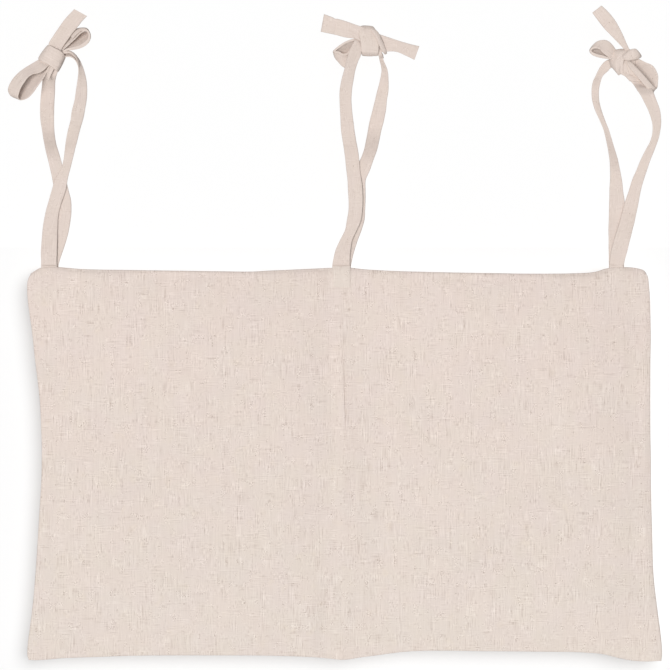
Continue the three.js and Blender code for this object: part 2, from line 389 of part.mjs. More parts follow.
// the sewn-down end of the centre front strap, on the face below the top edge; it follows the panels' facets
{
  const faceY = (h, side, u, v) => {
    let best = 0;
    for (let j = 0; j + 1 < ROWS.length; j++) for (let i = 0; i + 1 < COLS.length; i++) {
      const [u0, v0] = h[j][i], [u1] = h[j][i + 1], [, v1] = h[j + 1][i];
      if (u < u0 - 1 || u > u1 + 1 || v < v0 - 1 || v > v1 + 1) continue;
      const s = Math.min(1, Math.max(0, (u - u0) / (u1 - u0))), t = Math.min(1, Math.max(0, (v - v0) / (v1 - v0)));
      const q = (jj, ii) => layers(side, COLS[ii], ROWS[jj], 'front').outer[1];
      best = Math.max(best, Math.max(q(j, i) * (1 - s) * (1 - t) + q(j, i + 1) * s * (1 - t) + q(j + 1, i) * (1 - s) * t + q(j + 1, i + 1) * s * t));
    }
    return best;
  };
  const rows = [];
  for (let v = 270.5; v < 287; v += 2) {
    const l = Math.max(faceY(leftHalf, 'left', 332.6, v), faceY(leftHalf, 'left', 332.6, v + 2), faceY(leftHalf, 'left', 332.6, v - 2));
    const r = Math.max(faceY(rightHalf, 'right', 350, v), faceY(rightHalf, 'right', 350, v + 2), faceY(rightHalf, 'right', 350, v - 2));
    rows.push([332.6, v, -l - 0.95, 350, v, -r - 0.95]);
  }
  add('centre_tie_sewn_end', ribbon(rows, 8, 1.0), strapCloth);
}

export default group;
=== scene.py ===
# Two-compartment hanging storage bag with three pairs of tie straps.
# Metres, Z up, the face of the bag looks along -Y; the frame is the CAD's.
import math

import bpy
import numpy as np
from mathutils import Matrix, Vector


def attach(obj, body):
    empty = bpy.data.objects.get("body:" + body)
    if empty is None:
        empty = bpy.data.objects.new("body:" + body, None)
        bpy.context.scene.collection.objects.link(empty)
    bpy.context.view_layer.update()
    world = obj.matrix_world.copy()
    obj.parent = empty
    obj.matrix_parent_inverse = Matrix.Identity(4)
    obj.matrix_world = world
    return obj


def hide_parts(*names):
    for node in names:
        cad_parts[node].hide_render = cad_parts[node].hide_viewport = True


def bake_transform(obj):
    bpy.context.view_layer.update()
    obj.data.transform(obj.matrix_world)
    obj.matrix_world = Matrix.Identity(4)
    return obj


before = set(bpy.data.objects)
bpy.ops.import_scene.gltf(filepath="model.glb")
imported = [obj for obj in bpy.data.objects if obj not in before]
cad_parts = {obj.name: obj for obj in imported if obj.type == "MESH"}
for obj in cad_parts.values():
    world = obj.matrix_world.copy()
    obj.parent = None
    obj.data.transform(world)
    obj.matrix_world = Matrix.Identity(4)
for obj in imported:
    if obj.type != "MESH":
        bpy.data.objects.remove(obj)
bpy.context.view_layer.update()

# ---------------------------------------------------------------- outline drawing
SCALE, EYE = 0.948, 2000.0  # mm per outline unit in the seam plane; distance of the eye
EYE_X, EYE_Z = (335 - 344.5) * SCALE, (112 - 335) * SCALE
HINGE_Z = (112 - 267.6) * SCALE * 0.001
W, H = 297.0, 372.0  # half width and height of a compartment, mm


def P(u, v, y=0.0):
    """A point of the outline drawing at depth y (mm), in mm."""
    u, v, y = np.broadcast_arrays(np.asarray(u, float), np.asarray(v, float), np.asarray(y, float))
    k = SCALE * (EYE + y) / EYE
    return np.stack([EYE_X + (u - 335) * k, y, EYE_Z - (v - 335) * k], -1)


def smooth(t):
    t = np.clip(t, 0, 1)
    return t * t * (3 - 2 * t)


def rise(t):
    t = np.clip(t, 0, 1)
    return np.sqrt(1 - (1 - t) ** 2)


def shoulder(t, p=2.2):
    return 1 - (1 - np.clip(t, 0, 1)) ** p


def bump(x, a, b, fa, fb):
    """1 between a and b, with soft edges fa and fb wide."""
    return smooth((x - a) / fa + 0.5) * smooth((b - x) / fb + 0.5)


def waves(x, z, size, seed, n=7):
    """Smooth seeded noise of about that feature size, from -1 to 1."""
    r = np.random.RandomState(seed)
    out = 0
    for _ in range(n):
        ang, k, ph = r.uniform(0, 2 * math.pi), 2 * math.pi / size * r.uniform(0.55, 1.3), r.uniform(0, 2 * math.pi)
        out = out + np.sin(k * (x * math.cos(ang) + z * math.sin(ang)) + ph)
    return out / n * 1.7


def catmull(points, t):
    """Centripetal Catmull-Rom through the points, t from 0 to 1 uniform in their number."""
    p = np.asarray(points, float)
    n = len(p)
    if n == 2:
        return p[0] + (p[1] - p[0]) * np.asarray(t)[:, None]
    e = np.vstack([2 * p[0] - p[1], p, 2 * p[-1] - p[-2]])
    s = np.clip(t, 0, 1) * (n - 1)
    i = np.minimum(s.astype(int), n - 2)
    w = (s - i)[:, None]
    p0, p1, p2, p3 = e[i], e[i + 1], e[i + 2], e[i + 3]
    d = [np.sqrt(np.maximum(np.linalg.norm(b - a, axis=1), 1e-12))[:, None] for a, b in ((p0, p1), (p1, p2), (p2, p3))]
    d1 = np.where(d[1] < 1e-4, 1.0, d[1])
    d0 = np.where(d[0] < 1e-4, d1, d[0])
    d2 = np.where(d[2] < 1e-4, d1, d[2])
    t1 = ((p1 - p0) / d0 - (p2 - p0) / (d0 + d1) + (p2 - p1) / d1) * d1
    t2 = ((p2 - p1) / d1 - (p3 - p1) / (d1 + d2) + (p3 - p2) / d2) * d1
    return p1 + t1 * w + (3 * p2 - 3 * p1 - 2 * t1 - t2) * w**2 + (2 * p1 - 2 * p2 + t1 + t2) * w**3


def outline(points):
    """The curve through outline points, looked up by share of its length."""
    p = catmull(points, np.linspace(0, 1, 40 * len(points)))
    d = np.r_[0, np.cumsum(np.linalg.norm(np.diff(p, axis=0), axis=1))]
    return lambda t: np.stack([np.interp(np.asarray(t) * d[-1], d, p[:, k]) for k in (0, 1)], -1)


# ---------------------------------------------------------------- mesh building
def new_object(name, verts, faces, corner_uv, material, sharp=None):
    """verts in mm; corner_uv is one (x, y) in mm for each face corner."""
    me = bpy.data.meshes.new(name)
    me.from_pydata((np.asarray(verts) * 0.001).tolist(), [], faces)
    uv = me.uv_layers.new(name="Cloth")
    uv.data.foreach_set("uv", (np.asarray(corner_uv, np.float32) * 0.001).ravel())
    me.polygons.foreach_set("use_smooth", [True] * len(me.polygons))
    if sharp:
        flag = me.attributes.new("sharp_edge", "BOOLEAN", "EDGE")
        pairs = {tuple(sorted(e)) for e in sharp}
        flag.data.foreach_set("value", [tuple(sorted(e.vertices)) in pairs for e in me.edges])
    me.materials.append(material)
    ob = bpy.data.objects.new(name, me)
    bpy.context.collection.objects.link(ob)
    return ob


class Shape:
    """Collects closed skins into one mesh."""

    def __init__(self):
        self.v, self.f, self.uv, self.sharp, self.n = [], [], [], [], 0

    def add(self, verts, faces, uvs, sharp=()):
        self.v.append(np.asarray(verts, float))
        self.f += [tuple(i + self.n for i in f) for f in faces]
        self.uv += uvs
        self.sharp += [(a + self.n, b + self.n) for a, b in sharp]
        self.n += len(verts)

    def build(self, name, material):
        return new_object(name, np.vstack(self.v), self.f, self.uv, material, self.sharp)


def orient(verts, faces, uvs):
    """Turns the faces of a closed skin outwards."""
    v = np.asarray(verts, float)
    vol = 0.0
    for f in faces:
        a = v[f[0]]
        for k in range(1, len(f) - 1):
            vol += float(np.dot(a, np.cross(v[f[k]], v[f[k + 1]])))
    if vol >= 0:
        return faces, uvs
    out_f, out_uv, at = [], [], 0
    for f in faces:
        n = len(f)
        out_f.append(tuple(reversed(f)))
        out_uv += list(reversed(uvs[at : at + n]))
        at += n
    return out_f, out_uv


def shell(outer, inner, uv, sharp_sides=()):
    """Closed skin between two grids of points (rows, columns, 3); uv is (rows, columns, 2).
    sharp_sides: any of 'l', 'r' for a cut whose edge stays crisp."""
    nr, nc = outer.shape[:2]
    v = np.vstack([outer.reshape(-1, 3), inner.reshape(-1, 3)])
    idx = np.arange(nr * nc).reshape(nr, nc)
    off = nr * nc
    faces, uvs = [], []
    t = uv.reshape(-1, 2)

    def face(ids):
        faces.append(tuple(int(i) for i in ids))
        uvs.extend([tuple(t[i % off]) for i in ids])

    for r in range(nr - 1):
        for c in range(nc - 1):
            a, b, d, e = idx[r, c], idx[r, c + 1], idx[r + 1, c + 1], idx[r + 1, c]
            face((a, b, d, e))
            face((off + a, off + e, off + d, off + b))
    ring = [(0, c) for c in range(nc)] + [(r, nc - 1) for r in range(1, nr)] + [(nr - 1, c) for c in range(nc - 2, -1, -1)] + [(r, 0) for r in range(nr - 2, 0, -1)]
    for k in range(len(ring)):
        a, b = idx[ring[k]], idx[ring[(k + 1) % len(ring)]]
        face((b, a, off + a, off + b))
    faces, uvs = orient(v, faces, uvs)
    sharp = []
    for side in sharp_sides:
        c = 0 if side == "l" else nc - 1
        for r in range(nr - 1):
            for o in (0, off):
                sharp.append((o + idx[r, c], o + idx[r + 1, c]))
    return v, faces, uvs, sharp


def grid_normals(g):
    du = np.gradient(g, axis=1)
    dv = np.gradient(g, axis=0)
    n = np.cross(du, dv)
    return n / np.maximum(np.linalg.norm(n, axis=-1, keepdims=True), 1e-9)


def tube(rings, uv_along, uv_round, cap=True, closed=False):
    """Closed skin through rings of points (n, m, 3)."""
    n, m = rings.shape[:2]
    v = rings.reshape(-1, 3)
    faces, uvs = [], []
    rows = n if closed else n - 1
    for i in range(rows):
        j = (i + 1) % n
        for k in range(m):
            l = (k + 1) % m
            faces.append((i * m + k, i * m + l, j * m + l, j * m + k))
            uvs += [(uv_round[k], uv_along[i]), (uv_round[k + 1], uv_along[i]), (uv_round[k + 1], uv_along[i + 1]), (uv_round[k], uv_along[i + 1])]
    if cap and not closed:
        for i, order in ((0, range(m - 1, -1, -1)), (n - 1, range(m))):
            # a cap in strips across the strap, from one side of the ring to the other
            half = m // 2
            for k in range(half):
                a, b, c, d = k, (k + 1) % m, (m - 1 - k) % m, (m - k) % m
                ids = [a, b, c, d] if a != d else [a, b, c]
                if b == c:
                    ids = [a, b, d]
                if len(set(ids)) < 3:
                    continue
                ids = list(dict.fromkeys(ids))
                if i:
                    ids = ids[::-1]
                faces.append(tuple(i * m + q for q in ids))
                uvs += [(uv_round[q], uv_along[i]) for q in ids]
    faces, uvs = orient(v, faces, uvs)
    return v, faces, uvs


# ---------------------------------------------------------------- materials
def material(name):
    m = bpy.data.materials.new(name)
    m.use_nodes = True
    nt = m.node_tree
    nt.nodes.clear()
    out = nt.nodes.new("ShaderNodeOutputMaterial")
    bsdf = nt.nodes.new("ShaderNodeBsdfPrincipled")
    nt.links.new(bsdf.outputs[0], out.inputs[0])
    return m, nt, bsdf


class Nodes:
    """Short names for the nodes that the cloths use."""

    def __init__(self, nt):
        self.nt = nt

    def put(self, socket, value):
        if isinstance(value, bpy.types.NodeSocket):
            self.nt.links.new(value, socket)
        else:
            socket.default_value = value

    def math(self, op, a, b=0.0, c=None, clamp=False):
        n = self.nt.nodes.new("ShaderNodeMath")
        n.operation = op
        n.use_clamp = clamp
        self.put(n.inputs[0], a)
        self.put(n.inputs[1], b)
        if c is not None:
            self.put(n.inputs[2], c)
        return n.outputs[0]

    def uv(self, name="Cloth"):
        n = self.nt.nodes.new("ShaderNodeUVMap")
        n.uv_map = name
        s = self.nt.nodes.new("ShaderNodeSeparateXYZ")
        self.nt.links.new(n.outputs[0], s.inputs[0])
        return s.outputs[0], s.outputs[1]

    def vector(self, x, y, z=0.0):
        n = self.nt.nodes.new("ShaderNodeCombineXYZ")
        self.put(n.inputs[0], x)
        self.put(n.inputs[1], y)
        self.put(n.inputs[2], z)
        return n.outputs[0]

    def noise(self, x, y, sx, sy, seed=0.0, detail=2.0, rough=0.5, dist=0.0):
        """Noise with features about sx by sy metres."""
        n = self.nt.nodes.new("ShaderNodeTexNoise")
        n.noise_dimensions = "3D"
        v = self.vector(self.math("DIVIDE", x, sx), self.math("DIVIDE", y, sy), seed)
        self.nt.links.new(v, n.inputs["Vector"])
        n.inputs["Scale"].default_value = 1.0
        n.inputs["Detail"].default_value = detail
        n.inputs["Roughness"].default_value = rough
        n.inputs["Distortion"].default_value = dist
        return n.outputs["Fac"]

    def step(self, x, a, b):
        """Smoothly 0 at a and 1 at b."""
        n = self.nt.nodes.new("ShaderNodeMapRange")
        n.interpolation_type = "SMOOTHSTEP"
        n.clamp = True
        self.put(n.inputs["Value"], x)
        if a <= b:
            lo, hi, t0, t1 = a, b, 0.0, 1.0
        else:
            lo, hi, t0, t1 = b, a, 1.0, 0.0
        n.inputs["From Min"].default_value = lo
        n.inputs["From Max"].default_value = hi
        n.inputs["To Min"].default_value = t0
        n.inputs["To Max"].default_value = t1
        return n.outputs[0]

    def mix(self, fac, a, b, mode="MIX"):
        n = self.nt.nodes.new("ShaderNodeMix")
        n.data_type = "RGBA"
        n.blend_type = mode
        self.put(n.inputs[0], fac)
        self.put(n.inputs[6], a)
        self.put(n.inputs[7], b)
        return n.outputs[2]

    def colour(self, r, g, b):
        n = self.nt.nodes.new("ShaderNodeRGB")
        n.outputs[0].default_value = (r, g, b, 1)
        return n.outputs[0]

    def bump(self, height, distance, strength=1.0, normal=None):
        n = self.nt.nodes.new("ShaderNodeBump")
        n.inputs["Strength"].default_value = strength
        n.inputs["Distance"].default_value = distance
        self.put(n.inputs["Height"], height)
        if normal is not None:
            self.nt.links.new(normal, n.inputs["Normal"])
        return n.outputs[0]


def slub_cloth(name, base, dark, amount=1.0, drift=1.0, seed=0.0, sheen=0.10, patch=1.0, fall=0.0):
    """Plain-weave linen and cotton with slub yarns both ways, darker and lighter flecks and a few dark specks."""
    m, nt, bsdf = material(name)
    k = Nodes(nt)
    x, y = k.uv()
    warp = k.math("MULTIPLY", k.math("SUBTRACT", k.noise(x, y, 0.03, 0.03, 11 + seed, 2), 0.5), 0.0016)
    xw = k.math("ADD", x, warp)
    yw = k.math("ADD", y, k.math("MULTIPLY", k.math("SUBTRACT", k.noise(x, y, 0.03, 0.03, 23 + seed, 2), 0.5), 0.0016))
    # slub yarns: narrow and long along the warp, short and thin along the weft, in groups
    v1 = k.noise(xw, yw, 0.00085, 0.0150, 1.0 + seed, 0.6)
    v2 = k.noise(xw, yw, 0.00100, 0.0040, 5.0 + seed, 0.6)
    v3 = k.noise(xw, yw, 0.00095, 0.060, 17.0 + seed, 1.0)
    h1 = k.noise(xw, yw, 0.0130, 0.00085, 9.0 + seed, 0.6)
    h2 = k.noise(xw, yw, 0.0036, 0.00100, 14.0 + seed, 0.6)
    knot = k.noise(xw, yw, 0.00095, 0.00125, 19.0 + seed, 0.5)
    group_v = k.step(k.noise(x, y, 0.011, 0.030, 31 + seed, 1.5), 0.46, 0.62)
    group_v2 = k.step(k.noise(x, y, 0.008, 0.012, 37 + seed, 1.5), 0.46, 0.62)
    group_h = k.step(k.noise(x, y, 0.018, 0.008, 47 + seed, 1.5), 0.46, 0.64)
    group_h2 = k.step(k.noise(x, y, 0.010, 0.009, 53 + seed, 1.5), 0.50, 0.64)
    group_k = k.step(k.noise(x, y, 0.0065, 0.0105, 57 + seed, 1.0), 0.57, 0.69)

    def signed(n, amp, low, mask=None):
        """Noise about zero; low is what stays of it outside the groups."""
        d = k.math("MULTIPLY", k.math("SUBTRACT", n, 0.5), amp * amount)
        if mask is None:
            return d
        return k.math("MULTIPLY", d, k.math("ADD", low, k.math("MULTIPLY", mask, 1 - low)))

    tone = signed(v1, 0.80, 0.10, group_v)
    for extra in (signed(v3, 0.24, 1.0), signed(v2, 0.70, 0.06, group_v2), signed(h1, 0.72, 0.08, group_h), signed(h2, 0.54, 0.05, group_h2), signed(knot, 1.40, 0.03, group_k)):
        tone = k.math("ADD", tone, extra)
    # strong yarns stand out, dark ends count for more than light ones, and nothing goes too far
    tone = k.math("MULTIPLY", tone, k.math("ADD", 1.0, k.math("MULTIPLY", k.math("ABSOLUTE", tone), 2.4)))
    tone = k.math("MAXIMUM", k.math("MINIMUM", k.math("ADD", tone, k.math("MULTIPLY", k.math("MINIMUM", tone, 0.0), 0.45)), 0.17), -0.48)
    # the weave itself, about 17 yarns to the centimetre, with uneven yarns
    yarn = 0.00060
    wx = k.math("SINE", k.math("MULTIPLY", k.math("ADD", xw, k.math("MULTIPLY", v1, 0.0003)), 2 * math.pi / yarn))
    wy = k.math("SINE", k.math("MULTIPLY", k.math("ADD", yw, k.math("MULTIPLY", h1, 0.0003)), 2 * math.pi / yarn))
    weave = k.math("MULTIPLY", wx, wy)
    ribs = k.math("ADD", k.math("MULTIPLY", wx, 0.35), k.math("MULTIPLY", wy, 0.22))
    fine = k.noise(xw, yw, 0.0007, 0.0009, 60 + seed, 2.0, 0.6)
    # colour
    wide = k.math("ADD", k.math("MULTIPLY", k.math("SUBTRACT", k.noise(x, y, 0.045, 0.055, 70 + seed, 2), 0.5), 0.058 * drift),
                  k.math("MULTIPLY", k.math("SUBTRACT", k.noise(x, y, 0.0040, 0.0110, 75 + seed, 2), 0.5), 0.085 * amount))
    wide = k.math("ADD", wide, k.math("MULTIPLY", k.math("SUBTRACT", fine, 0.5), 0.07 * amount))
    wide = k.math("ADD", wide, k.math("MULTIPLY", weave, 0.010))
    col = k.colour(*base)
    hue = k.step(k.noise(x, y, 0.034, 0.036, 81 + seed, 1.5), 0.40, 0.62)
    col = k.mix(hue, k.colour(base[0] * (1 + 0.0025 * patch), base[1] * (1 - 0.0035 * patch), base[2]), k.colour(base[0] * (1 - 0.0025 * patch), base[1] * (1 + 0.0035 * patch), base[2] * (1 - 0.003 * patch)))
    cool = k.step(k.noise(x, y, 0.028, 0.031, 93 + seed, 1.5), 0.40, 0.62)
    col = k.mix(k.math("MULTIPLY", cool, patch), col, k.colour(0.997, 0.999, 1.012), "MULTIPLY")
    warm = k.step(k.noise(x, y, 0.012, 0.014, 87 + seed, 1.5), 0.62, 0.74)
    col = k.mix(k.math("MULTIPLY", warm, 0.5 * patch), col, k.colour(1.006, 1.0, 0.966), "MULTIPLY")
    if fall:  # the colour runs a little rosier towards the top
        ends = k.mix(k.step(y, -0.64, -0.24), k.colour(1 - 0.006 * fall, 1 + 0.005 * fall, 1 + 0.003 * fall), k.colour(1 + 0.003 * fall, 1 - 0.007 * fall, 1 - 0.004 * fall))
        col = k.mix(1.0, col, ends, "MULTIPLY")
    col = k.mix(k.math("MULTIPLY", k.math("MINIMUM", tone, 0.0), -0.5), col, k.colour(*dark))
    # specks of bark in the flax
    vo = nt.nodes.new("ShaderNodeTexVoronoi")
    vo.voronoi_dimensions = "2D"
    vo.feature = "F1"
    vo.inputs["Scale"].default_value = 1.0
    nt.links.new(k.vector(k.math("DIVIDE", k.math("ADD", xw, seed * 0.013), 0.0135), k.math("DIVIDE", yw, 0.0155)), vo.inputs["Vector"])
    cell = nt.nodes.new("ShaderNodeSeparateColor")
    nt.links.new(vo.outputs["Color"], cell.inputs[0])
    speck = k.math("MULTIPLY", k.step(vo.outputs["Distance"], 0.050, 0.028), k.step(cell.outputs[0], 0.93, 0.95))
    col = k.mix(k.math("MULTIPLY", speck, 0.5), col, k.colour(0.30, 0.22, 0.16))
    # dark marks are a little warmer than plain shade, light ones a little cooler
    even = k.math("ADD", 1.0, wide)
    light = k.vector(*[k.math("ADD", even, k.math("MULTIPLY", tone, f)) for f in (0.89, 1.03, 1.10)])
    scale = nt.nodes.new("ShaderNodeVectorMath")
    scale.operation = "MULTIPLY"
    nt.links.new(col, scale.inputs[0])
    nt.links.new(light, scale.inputs[1])
    nt.links.new(scale.outputs[0], bsdf.inputs["Base Color"])
    # relief
    height = k.math("ADD", k.math("MULTIPLY", weave, 0.32), k.math("ADD", ribs, k.math("MULTIPLY", fine, 1.1)))
    height = k.math("ADD", height, k.math("MULTIPLY", tone, 4.0))
    nrm = k.bump(height, 0.00006, 0.35)
    nt.links.new(nrm, bsdf.inputs["Normal"])
    nt.links.new(k.math("ADD", 0.86, k.math("MULTIPLY", fine, 0.12)), bsdf.inputs["Roughness"])
    bsdf.inputs["Specular IOR Level"].default_value = 0.12
    bsdf.inputs["Sheen Weight"].default_value = sheen
    bsdf.inputs["Sheen Roughness"].default_value = 0.55
    return m


def plain_cotton(name, base, seed=3.0):
    """Fine plain weave for the inside."""
    m, nt, bsdf = material(name)
    k = Nodes(nt)
    x, y = k.uv()
    yarn = 0.00042
    wx = k.math("SINE", k.math("MULTIPLY", x, 2 * math.pi / yarn))
    wy = k.math("SINE", k.math("MULTIPLY", y, 2 * math.pi / yarn))
    weave = k.math("MULTIPLY", wx, wy)
    n1 = k.noise(x, y, 0.0012, 0.009, seed, 2)
    n2 = k.noise(x, y, 0.03, 0.03, seed + 9, 2)
    tone = k.math("ADD", 0.965, k.math("ADD", k.math("MULTIPLY", n1, 0.04), k.math("MULTIPLY", n2, 0.03)))
    scale = nt.nodes.new("ShaderNodeVectorMath")
    scale.operation = "SCALE"
    nt.links.new(k.colour(*base), scale.inputs[0])
    nt.links.new(tone, scale.inputs["Scale"])
    nt.links.new(scale.outputs[0], bsdf.inputs["Base Color"])
    nt.links.new(k.bump(k.math("ADD", weave, n1), 0.00005, 0.5), bsdf.inputs["Normal"])
    nt.links.new(k.math("ADD", 0.84, k.math("MULTIPLY", n1, 0.1)), bsdf.inputs["Roughness"])
    bsdf.inputs["Specular IOR Level"].default_value = 0.12
    bsdf.inputs["Sheen Weight"].default_value = 0.08
    return m


def fibre_wadding(name):
    """Needled polyester: matted white fibres."""
    m, nt, bsdf = material(name)
    k = Nodes(nt)
    x, y = k.uv()
    a = k.noise(x, y, 0.0012, 0.006, 3, 4, 0.65, 1.2)
    b = k.noise(x, y, 0.007, 0.0015, 8, 4, 0.65, 1.2)
    c = k.noise(x, y, 0.02, 0.02, 12, 3, 0.55)
    tone = k.math("ADD", 0.86, k.math("MULTIPLY", k.math("ADD", a, k.math("ADD", b, c)), 0.08))
    scale = nt.nodes.new("ShaderNodeVectorMath")
    scale.operation = "SCALE"
    nt.links.new(k.colour(0.90, 0.89, 0.86), scale.inputs[0])
    nt.links.new(tone, scale.inputs["Scale"])
    nt.links.new(scale.outputs[0], bsdf.inputs["Base Color"])
    nt.links.new(k.bump(k.math("ADD", a, b), 0.0004, 0.7), bsdf.inputs["Normal"])
    nt.links.new(k.math("ADD", 0.9, k.math("MULTIPLY", c, 0.1)), bsdf.inputs["Roughness"])
    bsdf.inputs["Sheen Weight"].default_value = 0.3
    return m


def sewing_thread(name, base):
    """Two-ply thread; the ply runs round it."""
    m, nt, bsdf = material(name)
    k = Nodes(nt)
    x, y = k.uv()
    ply = k.math("SINE", k.math("MULTIPLY", k.math("ADD", y, k.math("MULTIPLY", x, 1.4)), 2 * math.pi / 0.0007))
    n = k.noise(x, y, 0.0006, 0.002, 4, 2)
    tone = k.math("ADD", 0.95, k.math("ADD", k.math("MULTIPLY", ply, 0.04), k.math("MULTIPLY", n, 0.06)))
    scale = nt.nodes.new("ShaderNodeVectorMath")
    scale.operation = "SCALE"
    nt.links.new(k.colour(*base), scale.inputs[0])
    nt.links.new(tone, scale.inputs["Scale"])
    nt.links.new(scale.outputs[0], bsdf.inputs["Base Color"])
    nt.links.new(k.bump(ply, 0.00008, 0.8), bsdf.inputs["Normal"])
    nt.links.new(k.math("ADD", 0.55, k.math("MULTIPLY", n, 0.2)), bsdf.inputs["Roughness"])
    bsdf.inputs["Specular IOR Level"].default_value = 0.3
    return m


OUTER = slub_cloth("slub_linen_cotton", (0.718, 0.6245, 0.5635), (0.62, 0.53, 0.46), amount=0.43, fall=1.0)
STRAP = slub_cloth("strap_linen_cotton", (0.700, 0.600, 0.541), (0.62, 0.53, 0.46), amount=0.26, drift=0.4, seed=2.0, patch=0.6)
TAB = slub_cloth("sewn_end_linen_cotton", (0.732, 0.642, 0.578), (0.62, 0.53, 0.46), amount=0.30, drift=0.4, seed=4.0, patch=0.2)
LINING = plain_cotton("lining_cotton", (0.78, 0.735, 0.665))
WADDING = fibre_wadding("wadding_fibre")
THREAD = sewing_thread("sewing_thread", (0.74, 0.65, 0.585))

# ---------------------------------------------------------------- outline of the bag
TOP_L = [[31, 273.0], [35, 270.4], [40, 267.7], [48, 266.7], [58, 266.5], [66, 267.2], [80, 268.5], [98, 269.2], [122, 269.6], [158, 270.2], [194, 270.7], [230, 271.2], [246, 271.4], [256, 271.2], [268, 270.4], [290, 269.4], [314, 268.2], [326, 267.6], [333, 267.3], [341.5, 267.2]]
TOP_R = [[341.5, 267.2], [350, 267.3], [356, 267.9], [365, 268.9], [377, 269.7], [389, 270.4], [401, 270.9], [425, 271.6], [449, 272.2], [473, 272.7], [497, 273.0], [521, 273.4], [557, 273.3], [575, 272.9], [590, 272.0], [598, 270.5], [605, 268.2], [612, 267.0], [622, 266.6], [630, 266.8], [638, 268.0], [643, 269.6], [645.7, 272.2]]
LEFT_EDGE = [[31, 273.0], [28.6, 277.5], [27.4, 282], [27.1, 290], [27.7, 300], [29.6, 315], [31.8, 330], [35, 360], [37.5, 380], [39.7, 400], [41.0, 425], [41.7, 450], [41.3, 480], [39.5, 510], [37.7, 540], [35.7, 570], [33.2, 600], [30.2, 625], [28.2, 640], [27.3, 650], [27.5, 656], [28.8, 659.9]]
RIGHT_EDGE = [[645.7, 272.2], [647.8, 276.5], [648.6, 282], [649.3, 290], [650, 300], [650.5, 320], [650.8, 338], [650.4, 360], [650.3, 400], [650.4, 435], [650.8, 455], [651, 490], [651.9, 525], [652.4, 545], [653.2, 570], [654.4, 585], [656.2, 600], [658.1, 615], [660.1, 630], [661.7, 645], [662.0, 655], [661.3, 660.9]]
SEAM = [[341.5, 267.2], [342.0, 300], [342.6, 345], [343.4, 367], [344.6, 395], [345.6, 420], [345.6, 455], [344.6, 505], [343.2, 555], [342.1, 595], [341.2, 630], [340.6, 659.9]]
BOT_L = [[28.8, 659.9], [36, 660.2], [45, 659.8], [60, 658.4], [75, 657.7], [90, 657.2], [105, 656.7], [120, 656.1], [150, 655.5], [200, 655.4], [255, 655.5], [270, 655.7], [285, 656.1], [300, 656.6], [315, 657.3], [328, 658.5], [340.6, 659.9]]
BOT_R = [[340.6, 659.9], [348, 659.5], [360, 657.5], [375, 655.6], [390, 653.5], [405, 651.8], [420, 650.9], [450, 650.7], [480, 651.2], [510, 651.4], [540, 651.7], [570, 652.0], [585, 652.6], [600, 653.8], [608, 655.3], [615, 657.2], [630, 660.3], [645, 661.5], [661.3, 660.9]]
CURVES = {"left": [outline(c) for c in (TOP_L, BOT_L, LEFT_EDGE, SEAM)], "right": [outline(c) for c in (TOP_R, BOT_R, SEAM, RIGHT_EDGE)]}


def coons(side, a, b):
    """Outline coordinates (u, v) at share a across and b down one half; arrays (rows, columns)."""
    T, B, L, R = CURVES[side]
    a1, b1 = np.asarray(a)[None, :, None], np.asarray(b)[:, None, None]
    t, m, l, r = T(a)[None], B(a)[None], L(b)[:, None], R(b)[:, None]
    c00, c10, c01, c11 = T(0.0), T(1.0), B(0.0), B(1.0)
    return (1 - b1) * t + b1 * m + (1 - a1) * l + a1 * r - ((1 - a1) * (1 - b1) * c00 + a1 * (1 - b1) * c10 + (1 - a1) * b1 * c01 + a1 * b1 * c11)


MOUTH_SPAN = {"left": (0.1, 0.96), "right": (0.035, 0.87)}
TIES_U = {"left": (41, 58.5), "centre": (332, 351), "right": (608.5, 624.5)}


def mouth(side, a):
    p, q = MOUTH_SPAN[side]
    t = np.clip((a - p) / (q - p), 0, 1)
    return np.sin(math.pi * t) ** 0.9


def inner_depth(side, face, a, top, down, u):
    """Depth (mm, positive) of the pocket-side face of the layers: a across, top and down are mm from the top edge and the bottom."""
    d_out = (a if side == "left" else 1 - a) * W
    d_mid = (1 - a if side == "left" else a) * W
    if side == "left":
        to_seam = 0.62 + 0.38 * shoulder(d_mid / 62, 1.8)
    else:
        to_seam = 0.62 + 0.38 * smooth((d_mid - 4) / 124)
    full = shoulder(d_out / 78, 2.0) * shoulder(down / 78, 2.0) * to_seam
    ties = sum(bump(u, p, q, 8, 8) for p, q in TIES_U.values()) * np.exp(-np.maximum(top, 0) / 10)
    if face == "front":
        y = 0.3 + 4.3 * full * (0.35 + 0.65 * shoulder(top / 46)) + 8.6 * mouth(side, a) * np.exp(-top / 70)
    else:
        y = 0.3 + 5.2 * full * shoulder((top + 1) / 46)
    return y + 1.9 * ties, full


def thickness(full, top):
    """From the pocket-side face of the lining to the outer face."""
    return 3.4 + 4.8 * full * (0.25 + 0.75 * shoulder(top / 40))


def crease_u(v):
    return np.interp(v, [p[1] for p in SEAM], [p[0] for p in SEAM])


# how deep the pressed centre seam shows down the face
SEAM_DEPTH_V = [268, 300, 350, 363, 374, 418, 428, 440, 590, 600, 618, 628, 634, 661]
SEAM_DEPTH = [0.0, 0.0, 0.03, 0.40, 0.62, 0.60, 0.28, 0.03, 0.0, 0.0, 0.0, 0.02, 0.06, 0.08]


